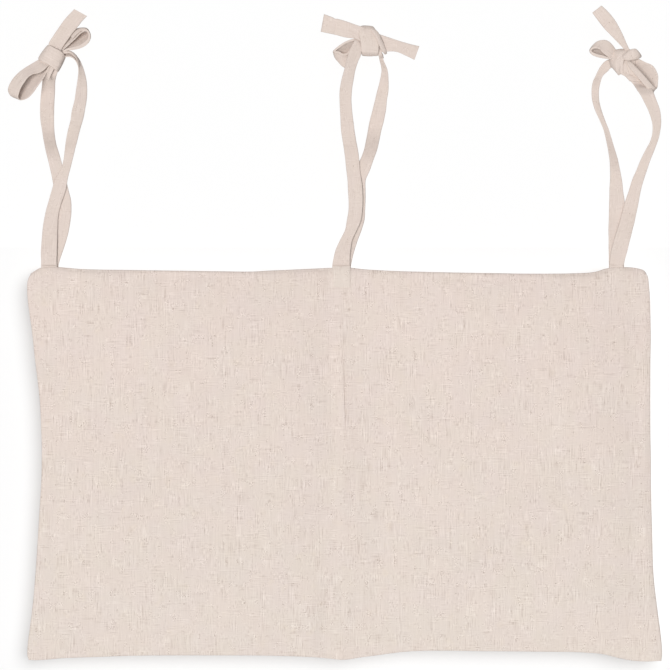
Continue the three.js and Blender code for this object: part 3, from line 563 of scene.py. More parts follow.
def relief(face, u, v):
    """What the seams, the seam allowance and the hand of the cloth add to the outer face (mm, outwards)."""
    e = (u - crease_u(v)) * SCALE  # mm to the right of the centre seam
    x, z = u * SCALE, v * SCALE
    out = 0.16 * waves(x, z, 95, 5) + 0.09 * waves(x, z, 38, 6) + 0.04 * waves(x, z, 16, 8)
    if face == "front":
        # the pressed allowance of the centre seam lies to its left; the cloth right of it falls away gently
        low = smooth((v - 555) / 50)
        allowance = smooth((e + 9.5) / 8.8) * (0.85 + 0.15 * bump(v, 345, 460, 30, 60)) * smooth((v - 286) / 16) * (1 - 0.85 * low) - 3.4 * low * smooth((e + 31) / 20) * (0.4 + 0.6 * smooth((656 - v) / 44))
        allowance = np.where(e <= 0, allowance, 0)
        right = np.where(e > 0, (0.85 + 0.15 * bump(v, 345, 460, 30, 60)) * np.exp(-e / 15.0) * smooth((v - 286) / 16) * (1 - 0.85 * low) - 3.4 * low * (1 - smooth((e - 4) / 80)) * (0.4 + 0.6 * smooth((656 - v) / 44)), 0)
        step = np.where(e > 0, -(0.75 + 0.55 * (1 - np.exp(-e / 2.5))) * np.exp(-e / 30.0) * bump(v, 364, 422, 12, 16), 0)
        out = out + allowance + right + step
        # soft hollow left of the allowance, and the pressed mark near the bottom
        out = out - 0.22 * bump(e, -26, -12, 14, 5) * smooth((v - 300) / 60) * (0.6 + 0.6 * smooth((v - 560) / 40))
        out = out + 0.22 * bump(e, 0.8, 7.5, 1.2, 5) * bump(v, 590, 664, 12, 6)
        # beside and under the sewn strap end
        out = out + 0.30 * bump(u, 332, 350.4, 3.0, 1.4) * bump(v, 262, 288, 4, 4) - 0.22 * bump(u, 350.4, 352.4, 1.0, 2.0) * bump(v, 279, 288, 3, 3)
    else:
        out = out + 0.4 * bump(e, 0.2, 10.5, 1.0, 4.0)
    return out


def puckers(along, dist, seed, amp=0.16, size=11.0):
    """Ripples square to a seam, dying out away from it."""
    r = np.random.RandomState(seed)
    out = 0
    for _ in range(5):
        k = 2 * math.pi / size * r.uniform(0.6, 1.5)
        out = out + np.sin(k * along + r.uniform(0, 6.28))
    return amp * out / 5 * 2.0 * np.exp(-np.maximum(dist, 0) / 9.0) * smooth(dist / 2.0 + 0.15)


SWELL = {}  # what the cloth simulation adds, by (side, face): function of a, b


def outer_depth(side, face, a, b, uv, top=None):
    """Depth of the outer face (mm, positive) on a grid; before the rims are rounded."""
    A = np.broadcast_to(np.asarray(a)[None, :], (len(b), len(a)))
    B = np.broadcast_to(np.asarray(b)[:, None], (len(b), len(a)))
    top = B * H if top is None else top
    y0, full = inner_depth(side, face, A, np.maximum(top, 0), (1 - B) * H, uv[..., 0])
    t = thickness(full, np.maximum(top, 0))
    d_out = (A if side == "left" else 1 - A) * W
    s = 1 if side == "left" else 2
    y = y0 + t + relief(face, uv[..., 0], uv[..., 1]) * smooth(d_out / 6 + 0.1) * smooth((1 - B) * H / 6 + 0.1)
    y = y + puckers(uv[..., 1] * SCALE, d_out, 20 + s) + puckers(uv[..., 0] * SCALE, (1 - B) * H, 30 + s, 0.2, 13)
    if face == "front":
        y = y + puckers(uv[..., 1] * SCALE, (1 - A if side == "left" else A) * W, 40 + s, 0.12, 16)
    y = y - 0.6 * np.exp(-np.maximum(top, 0) / 3.5)
    if (side, face) in SWELL:
        y = y + SWELL[side, face](A, B)
    return y0, y, d_out, (1 - B) * H, (1 - A if side == "left" else A) * W


def spaced(length, fine_a, fine_b, fine, coarse, reach):
    """Shares from 0 to 1 along a length in mm, fine near the ends and coarse between."""
    pts, x = [0.0], 0.0
    while x < length:
        near = min(x if fine_a else 1e9, (length - x) if fine_b else 1e9)
        x += fine + (coarse - fine) * float(smooth(near / reach))
        pts.append(x)
    p = np.array(pts)
    return p / p[-1]


A_LEFT = spaced(W, True, True, 0.55, 3.2, 26)
A_RIGHT = A_LEFT
B_ROWS = spaced(H, True, True, 0.7, 3.4, 30)
LIP_ROWS = 7
TURN_IN = [10.0, 8.0, 6.0, 4.2, 2.8]


def outer_cloth(side, face, a, sign):
    """Outer and inner grids of the outer cloth of one half, from the end of its turn-in over the lip and down the face, and its cloth coordinates."""
    b = B_ROWS
    uv = coons(side, a, b)
    y0, y, d_out, d_bot, d_mid = outer_depth(side, face, a, b, uv)
    rim = 1.7
    seam_d = np.interp(uv[..., 1], SEAM_DEPTH_V, SEAM_DEPTH)
    if face == "back":
        seam_d = seam_d * 0 + 0.5
    closing = rise(np.minimum(d_out, d_bot) / rim + 0.0)
    y = 0.06 + (y - 0.06) * closing
    # at the centre seam the cloth turns in by the depth of the seam
    width = np.maximum(seam_d * 2.4, 0.6)
    if face == "front" and side == "right":
        seam_d = seam_d * 0.3
    y = y - seam_d * (1 - rise(d_mid / width))
    p = P(uv[..., 0], uv[..., 1], 0.0)
    p[..., 1] = sign * y
    p[..., 2] -= 0.55 * np.exp(-(p[0, :, 2][None] - p[..., 2]) / 14.0)
    # lip: a half circle between the outer face and the pocket side at the top, then the turn-in
    T0 = np.maximum((y - y0)[0], 0.2) * 1.0
    y_in = 0.06 + (y0[0] - 0.06) * closing[0]
    T0 = np.maximum(y[0] - y_in, 0.05)
    r = T0 / 2
    top_z = p[0, :, 2].copy()
    # rows of the face start below the half circle
    down = top_z[None] - p[..., 2]
    lift = r[None] * np.exp(-down / 3.0)
    p[..., 2] = p[..., 2] - lift
    rows, dist = [], []
    for t in TURN_IN:
        q = p[0].copy()
        q[:, 1] = sign * (0.06 + (np.interp(t, [0, 12], [0, 0]) + y0[0] - 0.06) * closing[0])
        q[:, 2] = top_z - r - t * rise(np.minimum(d_out[0], d_mid[0] + 3) / 6 + 0.05)
        rows.append(q)
        dist.append(-(t + 3))
    for k in range(LIP_ROWS):
        th = math.pi * (1 - k / LIP_ROWS)
        q = p[0].copy()
        q[:, 1] = sign * (y_in + r + r * math.cos(th))
        q[:, 2] = top_z - r + r * math.sin(th)
        rows.append(q)
        dist.append(-3 * (1 - k / LIP_ROWS))
    grid = np.concatenate([np.array(rows), p], 0)
    # cloth coordinates: mm across and down
    along = np.concatenate([np.array(dist), uv[:, len(a) // 2, 1] * SCALE - uv[0, len(a) // 2, 1] * SCALE])
    across = np.concatenate([np.repeat(uv[:1, :, 0], len(rows), 0), uv[..., 0]], 0) * SCALE
    downs = np.concatenate([np.array(dist)[:, None] + uv[:1, :, 1] * SCALE, uv[..., 1] * SCALE], 0)
    cloth = np.stack([across, -downs], -1)
    n = grid_normals(grid)
    if np.sum(n[len(rows) + 20 : -20, 5:-5, 1]) * sign < 0:
        n = -n
    thick = 0.6
    inner = grid - n * thick
    return grid, inner, cloth


# ---------------------------------------------------------------- cloth simulation
def swell(face):
    """Lets the whole face settle as cloth: seams held, a light pressure on it, its own weight. Returns what it adds, by side."""
    sign = -1 if face == "front" else 1
    n = 46
    m = 58
    a = np.linspace(0, 1, n)
    b = np.linspace(0, 1, m)
    grids, uvs = [], []
    for side in ("left", "right"):
        uv = coons(side, a, b)
        y0, y, d_out, d_bot, d_mid = outer_depth(side, face, a, b, uv)
        y = 0.06 + (y - 0.06) * rise(np.minimum(d_out, d_bot) / 7 + 0.0)
        p = P(uv[..., 0], uv[..., 1], 0.0)
        p[..., 1] = sign * y
        grids.append(p)
    both = np.concatenate([grids[0], grids[1][:, 1:]], 1)
    nc = both.shape[1]
    idx = np.arange(m * nc).reshape(m, nc)
    faces = [(int(idx[r, c]), int(idx[r, c + 1]), int(idx[r + 1, c + 1]), int(idx[r + 1, c])) for r in range(m - 1) for c in range(nc - 1)]
    me = bpy.data.meshes.new("swell_" + face)
    me.from_pydata((both.reshape(-1, 3) * 0.001).tolist(), [], faces)
    ob = bpy.data.objects.new("swell_" + face, me)
    bpy.context.collection.objects.link(ob)
    pin = ob.vertex_groups.new(name="pin")
    held = np.zeros((m, nc))
    held[-1, :] = 1
    held[:, 0] = held[:, -1] = 1
    held[:, n - 1] = 1
    held[0, :] = 0.75
    held[0:2, : int(0.1 * n)] = 1
    for r in range(m):
        for c in range(nc):
            if held[r, c]:
                pin.add([int(idx[r, c])], float(held[r, c]), "REPLACE")
    md = ob.modifiers.new("cloth", "CLOTH")
    st = md.settings
    st.quality = 5
    st.mass = 0.0006
    st.air_damping = 3
    st.tension_stiffness = st.compression_stiffness = 12
    st.shear_stiffness = 6
    st.bending_stiffness = 1.5
    st.tension_damping = st.compression_damping = st.shear_damping = 8
    st.vertex_group_mass = "pin"
    st.use_pressure = True
    st.uniform_pressure_force = 0.35 * (-sign if face == "front" else 1)
    md.collision_settings.use_collision = False
    frames = 16
    md.point_cache.frame_start = 1
    md.point_cache.frame_end = frames
    sc = bpy.context.scene
    sc.frame_start, sc.frame_end = 1, frames
    for f in range(1, frames + 1):
        sc.frame_set(f)
    dg = bpy.context.evaluated_depsgraph_get()
    ev = ob.evaluated_get(dg)
    co = np.empty(m * nc * 3, np.float32)
    ev.data.vertices.foreach_get("co", co)
    moved = co.reshape(m, nc, 3) * 1000 - both
    sc.frame_set(1)
    bpy.data.objects.remove(ob)
    bpy.data.meshes.remove(me)
    out = np.clip(moved[..., 1] * sign, -1.6, 1.6)
    print("swell", face, "from", round(float(out.min()), 2), "to", round(float(out.max()), 2), "mm, moved most", round(float(np.abs(moved).max()), 2))

    def lookup(grid):
        def f(A, B):
            x, y = A * (n - 1), B * (m - 1)
            i, j = np.minimum(x.astype(int), n - 2), np.minimum(y.astype(int), m - 2)
            s, t = smooth(x - i) * 0 + (x - i), y - j
            return grid[j, i] * (1 - s) * (1 - t) + grid[j, i + 1] * s * (1 - t) + grid[j + 1, i] * (1 - s) * t + grid[j + 1, i + 1] * s * t
        return f

    return {"left": lookup(out[:, :n]), "right": lookup(out[:, n - 1 :])}


for face in ("front", "back"):
    for side, f in swell(face).items():
        SWELL[side, face] = f

# ---------------------------------------------------------------- panels
pieces = {}


def keep(ob, slot, *nodes):
    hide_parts(*nodes)
    pieces[ob.name] = ob
    return ob


def x_at(side, a):
    """X (metres) of the line a across one half, at mid height."""
    return float(P(*coons(side, np.array([a]), np.array([0.5]))[0, 0], 0.0)[0]) * 0.001


def split_columns(a):
    """The two parts of a half, meeting at its middle column."""
    mid = int(np.argmin(np.abs(a - 0.5)))
    return (slice(0, mid + 1), "r"), (slice(mid, len(a)), "l")


def bend_front(ob, side, first):
    """Bakes the placement of a pocket front piece into its mesh."""
    mid = (x_at(side, 0.5), 0.0, -0.3)
    end = (x_at(side, 0.0 if first else 1.0), 0.0, -0.3)
    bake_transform(ob)


HALVES = {}
for side in ("left", "right"):
    a = A_LEFT
    outer, inner, cloth = outer_cloth(side, "front", a, -1)
    seam = "r" if side == "left" else "l"
    HALVES[side] = (outer, inner, cloth)
    for k, (cols, cut) in enumerate(split_columns(a)):
        s = Shape()
        s.add(*shell(outer[:, cols], inner[:, cols], cloth[:, cols], (cut, seam) if (side == "left") == (k == 1) else (cut,)))
        ob = keep(s.build(f"front_{side}_outer_{'ab'[k]}", OUTER), "outer_cloth", f"front_{side}_outer_panel")
        bend_front(ob, side, k == 0)

# back outer cloth, one sheet across both compartments
lo, li, lc = outer_cloth("left", "back", A_LEFT, 1)
ro, ri, rc = outer_cloth("right", "back", A_RIGHT, 1)
for g in ((lo, ro), (li, ri), (lc, rc)):
    g[1][:, 0] = g[0][:, -1] = (g[0][:, -1] + g[1][:, 0]) / 2
s = Shape()
s.add(*shell(np.concatenate([lo, ro[:, 1:]], 1), np.concatenate([li, ri[:, 1:]], 1), np.concatenate([lc, rc[:, 1:]], 1)))
ob = keep(s.build("back_outer", OUTER), "outer_cloth", "back_outer_panel")
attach(ob, "bag")


def layer(side, face, a, b, low, high, sign):
    """Closed slab between two depths; low and high are functions of (y0, y, full, top)."""
    uv = coons(side, a, b)
    A = np.broadcast_to(a[None, :], uv.shape[:2])
    B = np.broadcast_to(b[:, None], uv.shape[:2])
    y0, full = inner_depth(side, face, A, B * H, (1 - B) * H, uv[..., 0])
    y = outer_depth(side, face, a, b, uv)[1]
    lo_y, hi_y = low(y0, y, B), high(y0, y, B)
    p, q = P(uv[..., 0], uv[..., 1], 0.0), P(uv[..., 0], uv[..., 1], 0.0)
    p[..., 1], q[..., 1] = sign * lo_y, sign * hi_y
    return p, q, np.stack([uv[..., 0], -uv[..., 1]], -1) * SCALE


INS_A, INS_B = 3.5 / W, 3.5 / H
for side in ("left", "right"):
    for face, sign in (("front", -1), ("back", 1)):
        # lining: its folded top edge lies on the turn-in of the outer cloth
        a = INS_A + (1 - 2 * INS_A) * spaced(W, True, True, 1.4, 6.5, 30)
        b = 8.0 / H + (1 - 8.0 / H - INS_B) * spaced(H, True, True, 1.4, 6.5, 30)
        over = lambda B: 0.75 * np.exp(-np.maximum(B * H - 8.0, 0) / 5.0)
        p, q, cloth = layer(side, face, a, b, lambda y0, y, B: np.maximum(y0 - over(B), 0.1), lambda y0, y, B: np.maximum(y0 - over(B), 0.1) + 0.5, sign)
        if face == "front":
            for k, (cols, cut) in enumerate(split_columns(a)):
                s = Shape()
                s.add(*shell(p[:, cols], q[:, cols], cloth[:, cols], (cut,)))
                ob = keep(s.build(f"front_{side}_lining_{'ab'[k]}", LINING), "lining_cloth", f"front_{side}_lining")
                bend_front(ob, side, k == 0)
        else:
            s = Shape()
            s.add(*shell(p, q, cloth))
            ob = keep(s.build(f"back_{side}_lining_cloth", LINING), "lining_cloth", f"back_{side}_lining")
            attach(ob, "bag")

WAD_A, WAD_B = 4.0 / W, 4.0 / H
for face, sign in (("front", -1), ("back", 1)):
    parts = []
    for side in ("left", "right"):
        a = WAD_A + (1 - 2 * WAD_A) * spaced(W, True, True, 1.6, 7.0, 30)
        b = 3.0 / H + (1 - 3.0 / H - WAD_B) * spaced(H, True, True, 1.6, 7.0, 30)
        p, q, cloth = layer(side, face, a, b, lambda y0, y, B: y0 + 0.65, lambda y0, y, B: np.maximum(y - 0.75, y0 + 0.95), sign)
        # rounded borders
        ra = rise(np.minimum(a - a[0], a[-1] - a)[None] * W / 3 + 0.12)
        rb = rise(np.minimum(b - b[0], b[-1] - b)[:, None] * H / 3 + 0.12)
        k = (ra * rb)[..., None]
        mid = (p + q) / 2
        p, q = mid + (p - mid) * k, mid + (q - mid) * k
        parts.append((a, p, q, cloth))
        if face == "front":
            for j, (cols, cut) in enumerate(split_columns(a)):
                s = Shape()
                s.add(*shell(p[:, cols], q[:, cols], cloth[:, cols], (cut,)))
                ob = keep(s.build(f"front_{side}_wadding_{'ab'[j]}", WADDING), "wadding", f"front_{side}_wadding")
                bend_front(ob, side, j == 0)
    if face == "back":
        s = Shape()
        (a1, p1, q1, c1), (a2, p2, q2, c2) = parts
        s.add(*shell(np.concatenate([p1, p2], 1), np.concatenate([q1, q2], 1), np.concatenate([c1, c2], 1)))
        ob = keep(s.build("back_wadding_layer", WADDING), "wadding", "back_wadding")
        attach(ob, "bag")

# ---------------------------------------------------------------- straps
LOOP_DEPTH, STRAP_W, FOOT_V = 16.5, 16, 265.7


def depth_at(v, knot, cross):
    return 0.8 + (LOOP_DEPTH - 0.8) * float(smooth((v - knot) / (96 - knot))) * (1 - float(smooth((v - 128) / (cross - 128))))


def strand(rows, side, knot, cross, tilt):
    out = []
    for v, a, b in rows:
        narrow = math.sqrt(max(0, STRAP_W**2 - (b - a) ** 2)) * SCALE * 0.22
        d = side * (0.8 if v > cross else depth_at(v, knot, cross))
        t = tilt * narrow * (1 - float(smooth((v - 118) / (cross - 8 - 118))))
        out.append([a, v, d - t, b, v, d + t])
    return out


LEFT_FRONT = strand([[90, 76, 87], [100, 74.5, 86.7], [110, 72, 85], [120, 70.5, 83], [130, 68, 80], [140, 66, 77.5], [150, 64.7, 75], [160, 63.5, 72.5], [170, 60.5, 70], [180, 55, 67.5], [190, 51.7, 66], [200, 49, 62.5], [210, 46, 59.5], [220, 44, 58], [230, 42.5, 57.7], [240, 41.7, 57.5], [252, 41, 57], [FOOT_V, 41, 57]], -1, 74, 160, 0.55)
LEFT_BACK = strand([[71, 50, 57], [80, 42.5, 55.5], [90, 41.5, 55], [100, 40.5, 54.5], [110, 40, 54.2], [120, 40.5, 54], [130, 42, 54.3], [140, 43.5, 55.5], [150, 45.5, 58], [160, 48, 61], [170, 50.3, 63.5], [180, 52.5, 66], [190, 54, 68.5], [200, 56, 71], [210, 57, 71.5], [220, 56, 70.5], [230, 54.5, 69], [240, 51.5, 66.5], [252, 47, 62.5], [FOOT_V, 43.5, 58.5]], 1, 66, 160, 0.35)
MID_FRONT = strand([[62, 346, 358], [70, 344, 355.5], [80, 341.5, 353.5], [90, 339.7, 352], [100, 339.5, 351.5], [110, 340, 352], [120, 340.5, 353.3], [130, 341, 354.5], [140, 342.5, 356], [150, 344, 358], [160, 345.3, 359.3], [170, 346.3, 360], [180, 347.5, 361.5], [190, 348, 362.5], [200, 348.5, 363], [210, 348.5, 362.5], [220, 347, 361], [230, 345, 357], [240, 340, 352.5], [252, 335, 350.3], [FOOT_V, 332.3, 350]], -1, 10, 166, 0.15)
MID_BACK = strand([[60, 379.5, 383.5], [70, 381.5, 387.5], [80, 380, 388.5], [90, 377.5, 388.5], [100, 375, 387], [110, 372.5, 386], [120, 370, 384], [130, 368, 381.5], [140, 366, 379.5], [150, 364, 377], [160, 360, 373.5], [170, 355, 370], [180, 351, 365.8], [190, 350, 365.6], [200, 350, 365.5], [210, 349.5, 365.2], [220, 348.5, 364.5], [230, 346.5, 361.5], [240, 342.5, 358], [252, 338, 354], [FOOT_V, 334.5, 351]], 1, 52, 166, -0.5)
RIGHT_BACK = strand([[64, 604, 612], [70, 600, 608], [76, 595.4, 602.9], [82, 592.8, 600.6], [90, 591.6, 599], [100, 592.1, 599.2], [110, 595, 601.5], [120, 599.5, 605], [130, 603.5, 609], [140, 606, 612], [150, 608, 615], [160, 609.5, 618], [170, 610, 620], [180, 610, 622], [190, 609.5, 623], [200, 609.3, 624.5], [210, 609, 624.6], [220, 608.7, 624.6], [235, 608.5, 624.4], [252, 608.7, 624.2], [FOOT_V, 609, 624]], 1, 60, 176, 0.1)
RIGHT_FRONT = strand([[84, 633, 648], [90, 637, 652.5], [95, 640.5, 654.5], [100, 643, 656.5], [110, 648, 660], [118, 651, 661], [125, 652.5, 661], [135, 652, 659.5], [142, 649.8, 657.5], [150, 645.5, 654.5], [160, 640.5, 650.5], [170, 636.5, 647], [180, 632, 643.8], [190, 629, 641], [200, 625.5, 639], [210, 622.5, 637], [220, 620, 635], [230, 617, 632.5], [240, 614, 630], [252, 611, 627], [FOOT_V, 609.5, 623.6]], -1, 76, 176, 0.3)
LEFT_ARCH = [[58, 60, 2, 55, 54, 2], [62, 57.5, -1, 59, 52.5, 4], [66, 56.8, -4, 64.5, 50.9, 4], [70.5, 57, -6, 70, 50.9, 3], [74.6, 59.6, -7.6, 75, 54, 0], [77.3, 63.8, -8.8, 80.2, 61, -3.4], [78.3, 70, -10.6, 84, 70, -7.6], [77.5, 80, -13.6, 86.4, 80, -12], [76, 90, -15.8, 87.2, 90, -15]]
AHEAD = {"left": 3.9, "centre": 4.4, "right": 3.9}
for rows, where, less in ((LEFT_FRONT, "left", 0), (MID_FRONT, "centre", 0), (RIGHT_FRONT, "right", 0), (LEFT_BACK, "left", 0.9), (MID_BACK, "centre", 0.9), (RIGHT_BACK, "right", 0.9)):
    for row in rows:  # they come forward before they meet the top edge
        ahead = (AHEAD[where] - less) * float(smooth((row[1] - 208) / 54))
        row[2] -= ahead
        row[5] -= ahead
for row in LEFT_BACK:  # it goes back evenly below its knot
    ease = {80: 3.2, 90: 1.4}.get(row[1], 0.0)
    row[2] -= ease
    row[5] -= ease
for row in MID_BACK:
    row[5] += 1.6 * float(bump(row[1], 178, 262, 20, 12))
# left bow: the loop at the lower left shows its outside, then its inside past the turn
LEFT_LOOP_LOW = [[51, 52, 1, 55, 63, -2], [45, 54.5, 1, 50, 64.8, -4], [38.4, 59.6, 0, 43.5, 70.6, -6], [33.5, 62.6, -0.5, 38.5, 73.2, -7], [28, 65.8, -1, 33.6, 74.1, -7.8], [21.8, 70, -1.5, 28.6, 77, -8.2], [15.5, 75.6, -2, 24.4, 82.3, -8.5], [10.4, 82.4, -2, 21.3, 87.5, -8.5], [7.9, 89, -1.5, 19.2, 92.8, -8], [9.2, 93.8, -0.5, 18.4, 97.4, -7], [13.5, 96.8, 2, 21, 100, -4], [17, 93, 5.5, 27.3, 98.2, -4.4], [20.5, 84.5, 9, 33, 93, -4.2], [27, 74.5, 10, 38.3, 85.6, -3.6], [34.5, 66, 9.5, 44.2, 77.3, -3], [41, 59.5, 8, 48.2, 70, -2], [47, 54.5, 5, 51, 64, 2]]
LEFT_LOOP_TOP = [[59, 53, -2, 57, 49, 1], [62.5, 50.3, -4, 59.5, 46.5, 2], [66.3, 47.3, -5.2, 62.5, 42.6, 3.5], [70.8, 43.2, -6, 66, 37.8, 4.5], [75.3, 38.9, -6.5, 70.6, 32.8, 5], [81, 33.2, -6.6, 76.2, 28.9, 4.5], [85.5, 30.9, -6.3, 81.5, 27.9, 4], [88.2, 31.3, -6, 86.4, 28.3, 4], [90.0, 34, -5.6, 88.6, 30.5, 4.5], [90.4, 38.2, -6, 88.5, 31.5, 6], [88.6, 42.4, -6, 85.5, 31.5, 7.6], [84.6, 46, -6, 80.5, 32, 8.2], [79.5, 48.4, -5.8, 75, 34.5, 7.8], [73.5, 49.6, -4.5, 69.5, 38.5, 6], [66.5, 50.6, -3.2, 63.5, 43.5, 5], [60, 53, -1.5, 58, 48.5, 2]]
LEFT_LIP_TOP = [[62, 52.6, -3.4, 63, 50.2, -4.2], [67, 50.9, -4.6, 67.5, 48.3, -5.2], [74, 49.8, -5.6, 73.6, 46.9, -5.8], [80, 48.4, -6.2, 78.8, 45.4, -6.2], [85, 46.0, -6.5, 83, 43, -6.4], [88.8, 42.4, -6.5, 86.4, 40.2, -6.4], [90.5, 38.2, -6.4, 88.2, 37.2, -6.4], [90.2, 34, -6.2, 88.3, 34.3, -6.4], [88.6, 30.8, -6, 87.2, 32.2, -6.3], [85.5, 28.6, -5.2, 84.9, 30.9, -6.2], [81, 28.3, -4.2, 81.6, 30.9, -6.2], [76, 30.6, -3.6, 77.6, 33.4, -6.4], [70.6, 36.2, -3.2, 72.6, 38.9, -6.2]]
LEFT_PLEAT = [[60.5, 53.5, -4, 61, 51.5, -4], [65.5, 53.6, -5, 65.6, 51.2, -4.6], [70, 53.4, -5.6, 70.2, 51.2, -4.4], [74, 56.2, -6.6, 75, 54.4, -4.6], [76.8, 60.2, -8.4, 78.4, 59.4, -5.6], [78.2, 66, -10.6, 79.9, 65.8, -8.4]]
LEFT_TAIL = [[52, 54, -2.5, 60, 59, -2.5], [49.2, 47.5, -4, 60.8, 54, -4], [48.6, 43.6, -4.6, 61.5, 50, -4.6], [53.8, 35, -5, 67.6, 40.2, -5.2], [58, 28.6, -5, 71.6, 34.6, -5.2], [62, 23, -4.8, 75.3, 29.8, -5], [68, 15.6, -4.5, 81, 22.6, -4.8], [74.2, 9.1, -4.2, 87, 16.1, -4.5]]
LEFT_WRAP = [[51, 48, 4, 42.5, 60, 4], [49.2, 46.0, 2, 39.2, 58.6, 2.5], [48.5, 44.8, -1.5, 38.4, 59.2, -1], [50.2, 45.2, -5.6, 41.2, 61.2, -4.6], [54.5, 47.6, -7.4, 46, 63.6, -6.6], [59.5, 50.2, -7.6, 51.6, 66.8, -7.2], [63.2, 53, -6.2, 55.8, 70.2, -5.8], [65.0, 55.6, -3, 57.4, 71.6, -3], [65.3, 56.8, 0.5, 57.4, 72.2, 0.5], [64, 57, 3.5, 56.5, 70.5, 3.5]]
LEFT_TUCK = [[50.5, 62, -4, 55, 63, -5], [50.2, 65.5, -5, 54.5, 67.5, -5.5], [49.6, 69.5, -4.8, 52.8, 71.5, -5.2], [48.6, 74, -3.6, 50.6, 76, -4], [47.6, 80, -3.5, 48.6, 81, -3.5]]
# middle bow
MID_ARCH = [[364, 38, -2, 367, 51, -2], [358.5, 38.6, -4.6, 363.4, 46, -5], [355.2, 40, -6.4, 362.6, 46.2, -6.2], [351.6, 46, -8.0, 361.8, 50.4, -7.6], [348.6, 53.6, -9.6, 360.6, 55.8, -9.2]]
MID_LOOP = [[364, 37, -1, 366, 45, 4], [356.5, 38, -4.5, 359.5, 48, 4.5], [350.4, 40.0, -5.5, 354, 52, 5], [344.6, 42.6, -6, 348, 55, 5], [338.6, 46.8, -6, 342, 57.5, 4.5], [334.8, 49.6, -5.6, 337.5, 59, 3.5], [333.2, 51, -5, 334.8, 57, 2.5], [335.6, 51.2, -5, 335.6, 59, 1.5], [339, 51.6, -5, 338.4, 62.4, 1], [342.6, 53.8, -4.6, 342.2, 66.5, 1], [346.4, 53.6, -3.8, 347.5, 68.5, 2], [351, 49, -2.4, 354, 64, 3], [358, 45, -1, 360, 56, 4]]
MID_LIP = [[358, 38.4, -4.8, 357.6, 40.4, -5.6], [350.2, 39.6, -6.2, 350.8, 41.8, -6.6], [344.4, 42.0, -6.8, 345.4, 44.0, -7], [338.4, 46.0, -6.8, 339.4, 48.0, -7], [334.6, 49.2, -6.4, 335.6, 50.9, -6.8], [333.4, 50.6, -6, 334.6, 52.2, -6.6], [336.2, 50.9, -6.2, 336, 53.4, -6.4], [339.6, 51.4, -6, 339.2, 54.2, -5.8], [343, 53.4, -5.4, 342.4, 56, -5.2], [346.8, 52.8, -5, 346.6, 55.6, -4.6], [350.6, 47.6, -5, 352, 50, -4.6]]
MID_TAIL_LEFT = [[324.0, 14.2, -5.2, 320.8, 31.6, -5.2], [329, 16.0, -5.4, 327, 33, -5.4], [333.2, 17.4, -5.6, 333, 34.4, -5.6], [334.6, 18.4, -5.7, 334.6, 34.8, -5.7], [337.6, 18.8, -5.9, 337.6, 35.4, -5.9], [343, 20.4, -6.3, 343, 36.8, -6.3], [350, 22.6, -6.7, 349.6, 38, -6.7], [357, 25, -6.9, 355.4, 39, -6.9], [362, 26.6, -6.7, 359.8, 41, -6.8], [367, 29, -5.5, 364, 43, -5.5]]
MID_TAIL_RIGHT = [[368, 36, -2, 368, 48, -2], [376, 33.6, -4, 377, 51.5, -4], [380, 34.4, -5, 382, 52.2, -5], [385, 36.1, -5.4, 386.6, 51.6, -5.4], [392.5, 38.6, -5.2, 394.6, 51.6, -5.2], [399, 40.8, -4.8, 400, 53, -4.8], [405, 42.6, -4.4, 404, 54.8, -4.4], [412.5, 44.6, -4, 409.8, 57.6, -4], [419.4, 46.2, -3.8, 414.4, 59.9, -3.8]]
MID_WRAP = [[364, 31, 4, 374, 31, 4], [363.2, 28, 2, 372.6, 28, 2], [361.4, 26.2, -2, 373.4, 27.0, -2], [359.4, 28.4, -6.2, 376, 30.6, -5.4], [358.8, 33.6, -7.4, 377.8, 36, -7], [360, 40, -8.2, 378.8, 42.6, -7.6], [361, 46, -8.4, 379, 47.6, -7.6], [361.2, 51.6, -7.2, 378.6, 52, -6.8], [361.6, 54.6, -3.6, 378.4, 54.8, -3.6], [362.4, 54.8, 0.5, 378, 55, 0.5], [363, 53, 3.5, 377, 53.4, 3.5]]
MID_ROLL = [[368.4, 30, -4, 372, 27.4, -3], [370.4, 30.4, -7, 374.2, 28.4, -5.4], [374.4, 35, -8.8, 378.9, 33.2, -6.6], [377.4, 40.6, -9.2, 382.0, 40, -6.8], [379.4, 46.4, -9.0, 384.6, 46, -6.6], [382.4, 51.6, -7, 386.4, 50.6, -5.6], [384.4, 54.2, -3, 387, 52.6, -3]]
MID_STEM = [[376, 46, -2, 381, 46, -2], [377.2, 50.5, -4.6, 381.4, 51.5, -5], [378.2, 54.8, -3.4, 382.6, 55.4, -3.4], [379.6, 58.2, 0, 384, 57.6, 1]]
# right bow
RIGHT_LOOP_LEFT = [[622, 56, 3, 622, 61, -2], [616, 49.9, 0, 613.8, 58.6, -3], [612.2, 44.4, -1.8, 609.2, 57.6, -4.8], [607, 40.4, -2.8, 604, 53.9, -5.8], [601, 40.1, -3.2, 598.4, 48.8, -6.6], [595.8, 42.3, -3.2, 594, 47.7, -6.8], [591.6, 46.8, -3, 591.6, 48.8, -7], [589.8, 50, 0, 589.9, 51.4, -6.8], [591.6, 49, 3.6, 591.8, 54.3, -6.4], [597, 47, 6.2, 598.2, 57, -6.4], [603, 48, 6.6, 605.4, 58.2, -5.6], [609, 51, 5.4, 609.6, 58.8, -3.6], [617, 55, 4, 617, 61, -1]]
RIGHT_LIP_LEFT = [[600, 47.2, -7.2, 600.6, 49.6, -7.6], [595.4, 46.2, -7.4, 595.8, 48.5, -7.8], [591.8, 47.4, -7.4, 592.6, 49.2, -7.8], [589.9, 50.2, -7.3, 591.6, 50.9, -7.7], [591.2, 54.2, -7.0, 593, 52.2, -7.6], [596.6, 56.9, -6.7, 597.2, 54.0, -7.2], [602.4, 58.2, -6.2, 603, 55.4, -6.6], [608.4, 59.2, -5.0, 608.4, 57.2, -5.4], [613, 60, -3.4, 613, 58.4, -3.6]]
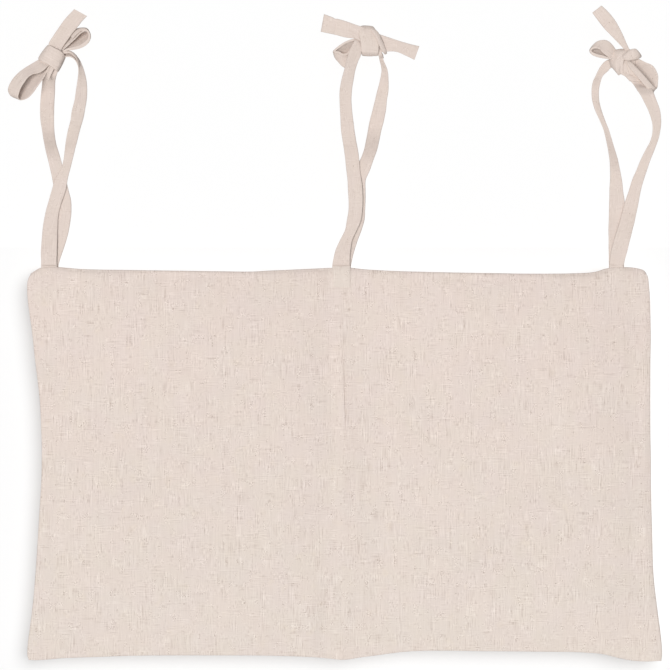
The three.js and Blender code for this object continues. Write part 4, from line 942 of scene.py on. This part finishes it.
RIGHT_LOOP_RIGHT = [[622, 60, -2, 624, 57, 1], [626.0, 62.8, -6.4, 629.4, 60.2, -5.6], [630.0, 68.6, -9, 634.4, 65.0, -8.2], [634.5, 73.9, -10.2, 639.2, 70.0, -9.4], [639.6, 79.6, -11, 644.6, 75.8, -10], [644.6, 85.6, -11.4, 649.8, 81.9, -10.2], [649.2, 90.8, -11.2, 654.2, 86.6, -9.6], [652.6, 93.0, -8, 656.6, 88.2, -6.0], [653.2, 92.0, -2, 657.6, 86.0, -2.4], [651.0, 87.5, 3.4, 658, 81.6, -3], [646, 81, 8, 658.2, 76, -3.4], [641.6, 75.6, 9.5, 656.2, 70, -3.6], [637.6, 71, 9, 652.4, 65.4, -3.4], [633.4, 66.4, 6.5, 645, 62.0, -3], [629.4, 61.4, 3, 638, 58.4, -2], [625.5, 59, 1, 631, 55.5, -1]]
RIGHT_TAIL = [[592.2, 12.8, -4, 601.5, 5.5, -4], [598.2, 20.8, -4.3, 607.8, 11.4, -4.3], [604.4, 28.6, -4.6, 614, 18.8, -4.6], [610.2, 34.8, -4.8, 619.2, 27.2, -4.8], [615.8, 40.4, -5, 622.8, 34.6, -5], [620.2, 45, -5, 626, 42, -5], [624.4, 49.6, -4.8, 629.4, 49, -4.8], [627, 53.6, -3, 632, 53.4, -3]]
RIGHT_LUMP = [[631, 50, 3, 629, 55, -2], [626, 49.3, 1, 626.4, 55.4, -5.4], [619.6, 49.2, 0.5, 624.8, 57, -7.0], [614.2, 50.4, 0.5, 624.2, 59, -7.6], [610.8, 55, 0.5, 624, 61.4, -7.8], [609.3, 61.4, 0.5, 623.6, 64.2, -7.6], [611.2, 66.6, 0.5, 622.8, 67.4, -7.0], [615.2, 70.6, 0, 621.8, 70.8, -6], [619.4, 73.2, 0.5, 621.4, 73.8, -3.5]]
RIGHT_SIDE = [[621, 57.4, -3, 627, 58.4, -3], [621.6, 60.4, -6.2, 628.2, 60.6, -6], [620.6, 65, -7, 630.2, 65.4, -7.2], [619.4, 69.4, -6.8, 632.8, 69.2, -7.2], [619.8, 73.2, -5.4, 635.4, 73.8, -6.4], [625, 76.4, -5.2, 638, 78.4, -6.2], [629.4, 81, -6.4, 642, 82.4, -7]]
RIGHT_EAR = [[622, 54, -4, 622.4, 58.5, -4], [624.2, 53.8, -7.4, 624.4, 60.2, -7.0], [628.2, 50.6, -9.6, 628.6, 60.8, -8.8], [632, 49, -10.2, 632.6, 60, -9.2], [635.6, 48.8, -9.6, 636.2, 59.4, -8.6], [638.2, 51.2, -7.6, 638.4, 58.8, -7.2], [639.6, 54.2, -4, 639.6, 58.2, -4], [639, 55, 0, 639, 57.6, 0]]
RIGHT_DROP = [[620, 60, 0, 631, 60, -2], [619.6, 69, -3, 632, 70, -4], [625.8, 76.4, -6.6, 639, 77, -6.6]]
LEFT_HEAD = [[52, 60, 2.4, 60, 60, 2.4], [49.4, 64.6, -2.6, 59, 67, -1.8], [46.8, 69.2, -3.0, 57.8, 71.6, -2.2], [44.0, 74.4, -0.8, 56.4, 76, 0.0]]
MID_HEAD = [[370, 50, 3.5, 380, 50, 3.5], [377.6, 54, 2, 383.2, 55, 3]]
RIGHT_HEAD = [[621, 58, 3.5, 624, 66, 3.5], [613, 59.2, 4.5, 616, 68, 4.5], [607.6, 59.8, 5, 611, 68, 5.5], [601.8, 64.6, 6, 607.8, 71.2, 7]]


def run(head, rows, start):
    return head + [s for s in rows if s[1] >= start]


def noise_line(x, size, seed, n=6):
    r = np.random.RandomState(seed)
    out = 0
    for _ in range(n):
        out = out + np.sin(2 * math.pi / size * r.uniform(0.5, 1.6) * x + r.uniform(0, 6.28))
    return out / n * 1.7


# across the strap: -1 to 1, and the ring of points of its section
ACROSS = np.array([-1, -0.96, -0.89, -0.8, -0.68, -0.54, -0.4, -0.26, -0.12, 0.02, 0.16, 0.3, 0.44, 0.58, 0.7, 0.8, 0.89, 0.96, 1.0])
RING = np.concatenate([ACROSS, ACROSS[-2:0:-1]])
SIDE = np.concatenate([np.ones(len(ACROSS)), -np.ones(len(ACROSS) - 2)])
SIDE[0] = SIDE[len(ACROSS) - 1] = 0


def strap(stations, seed, step=1.3, t=1.15, cup=0.3, fold=0.05, wrinkle=0.12, uv0=0.0, creases=(), kinks=(), bulge=0.0, soft=1.2):
    """Skin of a flat folded strap between the two edge curves of the stations.
    creases: (place across, depth, width, from, to) lines pressed along it, from and to as shares of the length.
    kinks: (place along in mm, depth, width, slant) folds across it.
    bulge: how far it bows out in mm, or pairs (share of the length, mm)."""
    s = np.asarray(stations, float)
    tt = np.linspace(0, 1, 60 * len(s))
    L, R = catmull(P(s[:, 0], s[:, 1], s[:, 2]), tt), catmull(P(s[:, 3], s[:, 4], s[:, 5]), tt)
    mid = (L + R) / 2
    # rings evenly spaced by the longer of the two edges, so that tight turns stay smooth
    d = np.maximum(np.linalg.norm(np.diff(L, axis=0), axis=1), np.linalg.norm(np.diff(R, axis=0), axis=1))
    d = np.maximum(d, np.linalg.norm(np.diff(mid, axis=0), axis=1))
    acc = np.r_[0, np.cumsum(d)]
    n = max(6, int(round(acc[-1] / step)) + 1)
    pick = np.interp(np.linspace(0, acc[-1], n), acc, tt)
    L, R = catmull(P(s[:, 0], s[:, 1], s[:, 2]), pick), catmull(P(s[:, 3], s[:, 4], s[:, 5]), pick)
    mid = (L + R) / 2
    x = np.r_[0, np.cumsum(np.linalg.norm(np.diff(mid, axis=0), axis=1))]
    w = R - L
    width = np.linalg.norm(w, axis=1)
    wn = w / np.maximum(width[:, None], 1e-9)
    along = np.gradient(mid, axis=0)
    along /= np.maximum(np.linalg.norm(along, axis=1, keepdims=True), 1e-9)
    nrm = np.cross(along, wn)
    nrm /= np.maximum(np.linalg.norm(nrm, axis=1, keepdims=True), 1e-9)
    for _ in range(3):  # even out the turn of the section
        nn = nrm.copy()
        nn[1:-1] = nrm[:-2] + 2 * nrm[1:-1] + nrm[2:]
        nrm = nn / np.maximum(np.linalg.norm(nn, axis=1, keepdims=True), 1e-9)
    out = -1.0 if nrm[:, 1].mean() > 0 else 1.0  # the side of the normal that looks out
    c = RING[None, :]
    half = t / 2 * (0.80 + 0.20 * c**2)
    ew = np.minimum(soft / np.maximum(width[:, None] / 2, 1.0), 0.9)
    edge = np.sqrt(np.clip(1 - np.clip((np.abs(c) - (1 - ew)) / ew, 0, 1) ** 2, 0, 1))
    xs = x[:, None]
    h = SIDE[None, :] * half * edge
    # a pressed fold line along the strap, and the stitched edge
    line = noise_line(xs, 90, seed + 1) * 0.12 + 0.05
    h = h - SIDE[None, :] * fold * np.exp(-(((c - line) / 0.13) ** 2))
    h = h - SIDE[None, :] * 0.03 * np.exp(-(((c - 0.78) / 0.06) ** 2)) * (0.75 + 0.25 * np.cos(xs * 2 * math.pi / 2.6))
    bend = cup * noise_line(xs, 60, seed + 2) * (1 - c**2) + 0.35 * cup * noise_line(xs, 34, seed + 3) * c * (1 - c**2) * 2
    ripple = wrinkle * noise_line(xs + 2.5 * c * np.sin(xs / 9 + seed), 7.5, seed + 4) * (0.45 + 0.55 * smooth(noise_line(xs, 45, seed + 5) * 0.5 + 0.5))
    share = xs / max(x[-1], 1e-6)
    bow = np.interp(share, [q[0] for q in bulge], [q[1] for q in bulge]) if isinstance(bulge, (list, tuple)) else bulge
    h = h + bend + ripple + out * bow * (1 - c**2)
    for c0, deep, wide, f0, f1 in creases:
        place = c0 + 0.03 * noise_line(xs, 20, seed + 7)
        h = h - out * deep * np.exp(-(((c - place) / wide) ** 2)) * smooth((share - f0) / 0.08 + 0.5) * smooth((f1 - share) / 0.12 + 0.5)
    for x0, deep, wide, slant in kinks:
        h = h - out * deep * np.exp(-(((xs - x0 - slant * c) / wide) ** 2))
    across = c + 0.015 * noise_line(xs, 22, seed + 6) * np.sign(c) * (np.abs(c) > 0.9)
    pts = mid[:, None, :] + wn[:, None, :] * (across * width[:, None] / 2)[..., None] + nrm[:, None, :] * h[..., None]
    uv_round = np.concatenate([ACROSS * STRAP_W / 2, (2 - ACROSS[-2::-1]) * STRAP_W / 2]) + uv0
    return tube(pts, (x + 37.0 * seed).tolist() + [0], uv_round.tolist())


def knot_core(u, v, y, axis, across, depth, length, seed, nu=40, nv=26):
    """The bunched cloth inside the knot."""
    c0 = P(u, v, y)
    ax = np.array([axis[0], 0, -axis[1]], float)
    ax /= np.linalg.norm(ax)
    cr = np.array([axis[1], 0, axis[0]], float)
    cr /= np.linalg.norm(cr)
    th = (np.arange(nv) + 0.5) / nv * math.pi
    ph = np.arange(nu) / nu * 2 * math.pi
    TH, PH = th[:, None], ph[None, :]
    r = np.sin(TH) ** 0.7 * (1 + 0.06 * np.cos(5 * PH + seed) + 0.05 * np.cos(3 * PH + 2 * TH + seed))
    pts = c0 + (-np.cos(TH) * length)[..., None] * ax + (np.cos(PH) * r * across)[..., None] * cr + (np.sin(PH) * r * depth)[..., None] * np.array([0.0, 1.0, 0.0])
    uv_round = (np.arange(nu + 1) / nu * 30).tolist()
    return tube(pts, (th * 8).tolist() + [0], uv_round)


def across_hinge(ob):
    """Bakes the placement of a tie or bartack piece into its mesh."""
    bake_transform(ob)


def straps(name, node, ribbons, core=None):
    s = Shape()
    for k, (st, kw) in enumerate(ribbons):
        s.add(*strap(st, **kw))
    if core:
        s.add(*knot_core(*core))
    ob = keep(s.build(name, STRAP), "strap_cloth", node)
    across_hinge(ob)
    return ob


def foot(rows, side):
    """Carries a strap on below the top edge, into the seam."""
    a, v, y, b, v2, y2 = rows[-1]
    if abs(y) > 2:
        return rows + [[a, 267.8, y, b, 267.8, y], [a, 270.2, y * 0.9, b, 270.2, y * 0.9], [a, 273.0, y * 0.8, b, 273.0, y * 0.8]]
    return rows + [[a, 269.5, y, b, 269.5, y2], [a, 273.0, side * 1.15, b, 273.0, side * 1.15]]


TURN = dict(step=0.9, cup=0.25, wrinkle=0.08)
LIP = dict(step=0.9, t=1.0, cup=0.0, fold=0.0, wrinkle=0.05, soft=0.8)
straps("left_tie_front", "left_tie_front_strap",
       [(foot(run(LEFT_ARCH, LEFT_FRONT, 100), -1), dict(seed=1, creases=[(-0.35, 0.5, 0.12, 0.0, 0.14), (0.35, 0.45, 0.14, 0.0, 0.12)])),
        (LEFT_LOOP_LOW, dict(seed=2, **TURN)),
        (LEFT_LOOP_TOP, dict(seed=3, creases=[(-0.45, 0.7, 0.16, 0.0, 0.36), (0.15, 0.8, 0.16, 0.0, 0.34)], **TURN)),
        (LEFT_LIP_TOP, dict(seed=16, **LIP)), (LEFT_PLEAT, dict(seed=17, **LIP))],
       core=(52, 58, -0.5, [13, -24], 10.5, 4.4, 10, 1.0))
straps("left_tie_back", "left_tie_back_strap",
       [(foot(run(LEFT_HEAD, LEFT_BACK, 80), 1), dict(seed=4, creases=[(-0.45, 0.6, 0.14, 0.0, 0.12), (-0.05, 0.4, 0.12, 0.0, 0.10)])),
        (LEFT_TAIL, dict(seed=5, cup=0.3)),
        (LEFT_WRAP, dict(seed=18, step=0.8, cup=0.15, wrinkle=0.12, bulge=0.7, creases=[(0.55, 0.25, 0.16, 0.2, 0.8), (-0.25, 0.2, 0.2, 0.3, 0.9)])),
        (LEFT_TUCK, dict(seed=19, **LIP))])
straps("centre_tie_front", "centre_tie_front_strap",
       [(foot(run(MID_ARCH, MID_FRONT, 62), -1), dict(seed=6)), (MID_LOOP, dict(seed=7, **TURN)), (MID_LIP, dict(seed=20, **LIP)),
        (MID_TAIL_RIGHT, dict(seed=8, cup=0.3, creases=[(-0.2, 0.3, 0.2, 0.1, 0.5)]))],
       core=(370, 41, 0, [1, 0.08], 11.5, 4.8, 9.0, 2.0))
straps("centre_tie_back", "centre_tie_back_strap",
       [(foot(run(MID_HEAD, MID_BACK, 60), 1), dict(seed=9)),
        (MID_TAIL_LEFT, dict(seed=10, cup=0.25, kinks=[(12.6, 0.7, 0.9, 0.5), (15.6, 0.3, 1.4, 0.5)], creases=[(0.2, 0.5, 0.5, 0.75, 1.0)])),
        (MID_WRAP, dict(seed=21, step=0.8, cup=0.12, wrinkle=0.12, bulge=0.6, creases=[(-0.3, 0.25, 0.2, 0.2, 0.5), (0.45, 0.3, 0.16, 0.3, 0.9)])),
        (MID_ROLL, dict(seed=22, step=0.6, t=1.6, cup=0.0, fold=0.0, wrinkle=0.1, bulge=0.5, soft=1.6, kinks=[(4.2, 0.4, 0.6, 0.3), (6.6, 0.35, 0.6, 0.3), (9.4, 0.3, 0.7, 0.3)])),
        (MID_STEM, dict(seed=23, step=0.8, cup=0.0, fold=0.0, wrinkle=0.1))])
straps("right_tie_front", "right_tie_front_strap",
       [(foot(run(RIGHT_DROP, RIGHT_FRONT, 84), -1), dict(seed=11, creases=[(0.1, 0.6, 0.12, 0.0, 0.12), (0.5, 0.5, 0.12, 0.0, 0.14)])),
        (RIGHT_LOOP_LEFT, dict(seed=12, **TURN)), (RIGHT_LIP_LEFT, dict(seed=24, **LIP)),
        (RIGHT_LOOP_RIGHT, dict(seed=13, step=0.9, cup=0.1, wrinkle=0.08, bulge=[(0, 0.5), (0.42, 0.5), (0.56, -1.3), (1, -1.3)])),
        (RIGHT_SIDE, dict(seed=25, step=0.8, cup=0.0, wrinkle=0.15, creases=[(-0.25, 1.1, 0.12, 0.0, 0.9), (0.35, 1.0, 0.11, 0.15, 1.0)]))],
       core=(624, 61, 0, [13, 10], 9, 4.4, 11.0, 3.0))
straps("right_tie_back", "right_tie_back_strap",
       [(foot(run(RIGHT_HEAD, RIGHT_BACK, 76), 1), dict(seed=14)),
        (RIGHT_TAIL, dict(seed=15, cup=0.3, creases=[(-0.6, 0.6, 0.14, 0.55, 1.0)])),
        (RIGHT_LUMP, dict(seed=26, step=0.8, cup=0.0, wrinkle=0.1, bulge=2.2, creases=[(0.35, 0.5, 0.2, 0.3, 0.95), (-0.25, 0.25, 0.2, 0.2, 0.7)])),
        (RIGHT_EAR, dict(seed=27, step=0.7, cup=0.0, fold=0.2, wrinkle=0.1, bulge=1.6))])

# ---------------------------------------------------------------- thread and the sewn end
def stitch(p0, p1, r, sag=0.0, n=9, m=8, up=(0, -1, 0)):
    """One stitch: a short length of thread that dips in at both ends."""
    p0, p1, up = np.array(p0, float), np.array(p1, float), np.array(up, float)
    d = p1 - p0
    ln = np.linalg.norm(d)
    d = d / ln
    side = np.cross(d, up)
    side /= np.linalg.norm(side)
    t = np.linspace(0, 1, n)
    lift = np.sin(t * math.pi) ** 0.5 * sag
    taper = 0.45 + 0.55 * np.sin(np.clip(t, 0.02, 0.98) * math.pi) ** 0.4
    ang = np.arange(m) / m * 2 * math.pi
    rings = p0 + (t[:, None] * ln)[..., None] * d + lift[:, None, None] * up + r * taper[:, None, None] * (np.cos(ang)[None, :, None] * side + np.sin(ang)[None, :, None] * up)
    return tube(rings, (t * ln).tolist() + [0], (np.arange(m + 1) * r).tolist())


s = Shape()
pts = outline(SEAM)(np.linspace(0.02, 0.98, 118))
for i in range(117):
    (u0, v0), (u1, v1) = pts[i], pts[i] + (pts[i + 1] - pts[i]) * 0.82
    s.add(*stitch(P(u0, v0, -0.75), P(u1, v1, -0.75), 0.22, 0.12))
ob = keep(s.build("divider_thread", THREAD), "thread", "divider_stitching")
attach(ob, "bag")

for where, a0, a1 in (("left", 41.8, 56.2), ("centre", 333.2, 349.2), ("right", 610.2, 622.8)):
    s = Shape()
    y = -0.8 - 0.58 - 0.05 - AHEAD[where]
    n = 19
    for k in range(n):  # close zigzag of a bartack
        q0, q1 = a0 + (a1 - a0) * k / n, a0 + (a1 - a0) * (k + 1) / n
        za, zb = (265.0, 266.2) if k % 2 else (266.2, 265.0)
        s.add(*stitch(P(q0, za, y), P(q1, zb, y), 0.13, 0.04))
    ob = keep(s.build(f"{where}_tie_bartack_thread", THREAD), "thread", f"{where}_tie_bartack")
    across_hinge(ob)

# the sewn-down end of the centre front strap: over the top edge and down the face
U0, U1, V0, V1 = 332.4, 350.3, 266.3, 287.8
na, nb = 34, 44
uu = (U0 + U1) / 2 + (U1 - U0) / 2 * np.sin(np.linspace(-1, 1, na) * math.pi / 2 * 0.98) / math.sin(math.pi / 2 * 0.98)
vv = np.concatenate([np.linspace(V0, 269.4, 14), np.linspace(269.9, V1 - 1.6, nb - 20), np.linspace(V1 - 1.2, V1, 6)])
U, V = np.meshgrid(uu, vv)


def face_depth_at(U, V):
    """Depth of the finished front face under outline points (mm, positive)."""
    skip = len(TURN_IN) + LIP_ROWS
    q = np.concatenate([HALVES["left"][0][skip : skip + 46, -26:].reshape(-1, 3), HALVES["right"][0][skip : skip + 46, :26].reshape(-1, 3)])
    p = P(U, V, 0.0)
    out = np.zeros_like(U)
    for i in np.ndindex(U.shape):
        d2 = (q[:, 0] - p[i][0]) ** 2 + (q[:, 2] - p[i][2]) ** 2
        o = np.argpartition(d2, 6)[:6]
        w = 1 / (d2[o] + 0.15)
        out[i] = float((-q[o, 1] * w).sum() / w.sum())
    return out


base = face_depth_at(U, np.maximum(V, 269.2))
for _ in range(8):
    nxt = base.copy()
    nxt[1:-1, 1:-1] = (base[:-2, 1:-1] + base[2:, 1:-1] + base[1:-1, :-2] + base[1:-1, 2:] + 4 * base[1:-1, 1:-1]) / 8
    base = nxt
over = smooth((V - V0) / (270.4 - V0))
base = 6.0 * (1 - over) + base * over
across = (U - (U0 + U1) / 2) / ((U1 - U0) / 2)
sides = rise((1 - np.abs(across)) * (U1 - U0) / 2 / np.where(across > 0, 3.4, 2.0) + 0.02)
ends = rise((V1 - V) / 2.0 + 0.02) * rise((V - V0) / 2.5 + 0.05)
height = 0.34 * sides * ends + 0.03 * waves(U, V, 8, 3)
outer = P(U, V, 0.0)
inner = outer.copy()
outer[..., 1] = -(base + 0.10 + height)
inner[..., 1] = -(base - 0.35)
s = Shape()
s.add(*shell(outer, inner, np.stack([U, -V], -1) * SCALE))
ob = keep(s.build("centre_tie_end_sewn", TAB), "strap_cloth", "centre_tie_sewn_end")
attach(ob, "bag")

# ---------------------------------------------------------------- stage, light, camera
def stage_plane(name, points, colour, glow=0.0):
    me = bpy.data.meshes.new(name)
    me.from_pydata(points, [], [(0, 1, 2, 3)])
    ob = bpy.data.objects.new(name, me)
    bpy.context.collection.objects.link(ob)
    m = bpy.data.materials.new(name)
    m.use_nodes = True
    nt = m.node_tree
    nt.nodes.clear()
    out = nt.nodes.new("ShaderNodeOutputMaterial")
    dif = nt.nodes.new("ShaderNodeBsdfDiffuse")
    dif.inputs[0].default_value = (*colour, 1)
    front = dif.outputs[0]
    if glow:
        em = nt.nodes.new("ShaderNodeEmission")
        em.inputs[1].default_value = glow
        both = nt.nodes.new("ShaderNodeAddShader")
        nt.links.new(dif.outputs[0], both.inputs[0])
        nt.links.new(em.outputs[0], both.inputs[1])
        front = both.outputs[0]
    clear = nt.nodes.new("ShaderNodeBsdfTransparent")
    mix = nt.nodes.new("ShaderNodeMixShader")
    geo = nt.nodes.new("ShaderNodeNewGeometry")
    nt.links.new(geo.outputs["Backfacing"], mix.inputs[0])
    nt.links.new(front, mix.inputs[1])
    nt.links.new(clear.outputs[0], mix.inputs[2])
    nt.links.new(mix.outputs[0], out.inputs[0])
    me.materials.append(m)
    return ob


WALL_Y = 0.0200
SPLIT = HINGE_Z + 0.020  # the part of the wall below this lights the rims of the bag; the part above stays out of the bows
wall = stage_plane("wall", [(-4, WALL_Y, -0.66), (4, WALL_Y, -0.66), (4, WALL_Y, SPLIT), (-4, WALL_Y, SPLIT)], (0.5, 0.5, 0.5), glow=0.385)
wall_high = stage_plane("wall_high", [(-4, WALL_Y, SPLIT), (4, WALL_Y, SPLIT), (4, WALL_Y, 4), (-4, WALL_Y, 4)], (0.5, 0.5, 0.5), glow=0.402)
floor = stage_plane("floor", [(-4, -5, -0.66), (4, -5, -0.66), (4, 5, -0.66), (-4, 5, -0.66)], (0.82, 0.82, 0.81))
for ob in (wall, wall_high, floor):
    ob.visible_shadow = False
    ob.visible_diffuse = ob is wall
    ob.visible_glossy = False

world = bpy.data.worlds.new("studio")
bpy.context.scene.world = world
world.use_nodes = True
world.node_tree.nodes["Background"].inputs[0].default_value = (1, 1, 1, 1)
world.node_tree.nodes["Background"].inputs[1].default_value = 0.25


def sun(name, toward, strength, angle):
    d = bpy.data.lights.new(name, "SUN")
    d.energy = strength
    d.angle = math.radians(angle)
    ob = bpy.data.objects.new(name, d)
    ob.rotation_euler = Vector(toward).to_track_quat("Z", "Y").to_euler()
    bpy.context.collection.objects.link(ob)
    return ob


KEY = sun("key", (-0.20, -1.0, -0.13), 2.515, 30)
TOP = sun("above", (0.1, -0.3, 1.0), 0.45, 40)
BELOW = sun("below", (0.08, -0.3, -1.0), 0.40, 40)
BACK = sun("behind", (0.25, 1.0, -0.05), 0.9, 40)
SHADOW = sun("wall_light", (0.33, -1.0, 0.26), 3.2, 50)

cloth_objects = bpy.data.collections.new("lit_pieces")
wall_only = bpy.data.collections.new("lit_wall")
shaders = bpy.data.collections.new("casts_on_wall")
wall_only.objects.link(wall)
wall_only.objects.link(wall_high)
for ob in list(pieces.values()) + [floor]:
    cloth_objects.objects.link(ob)
for n, ob in pieces.items():
    if "outer" in n:
        shaders.objects.link(ob)
KEY.light_linking.receiver_collection = cloth_objects
BACK.light_linking.receiver_collection = cloth_objects
TOP.light_linking.receiver_collection = cloth_objects
BELOW.light_linking.receiver_collection = cloth_objects
SHADOW.light_linking.receiver_collection = wall_only
SHADOW.light_linking.blocker_collection = shaders

cam_data = bpy.data.cameras.new("camera")
cam_data.sensor_width = 36
cam_data.lens = 36 * 2000 / (670 * SCALE)
cam_data.clip_end = 50
cam = bpy.data.objects.new("camera", cam_data)
cam.location = (EYE_X * 0.001, -2.0, EYE_Z * 0.001)
cam.rotation_euler = (math.radians(90), 0, 0)
bpy.context.collection.objects.link(cam)
bpy.context.scene.camera = cam
bpy.context.scene.view_settings.view_transform = "Standard"
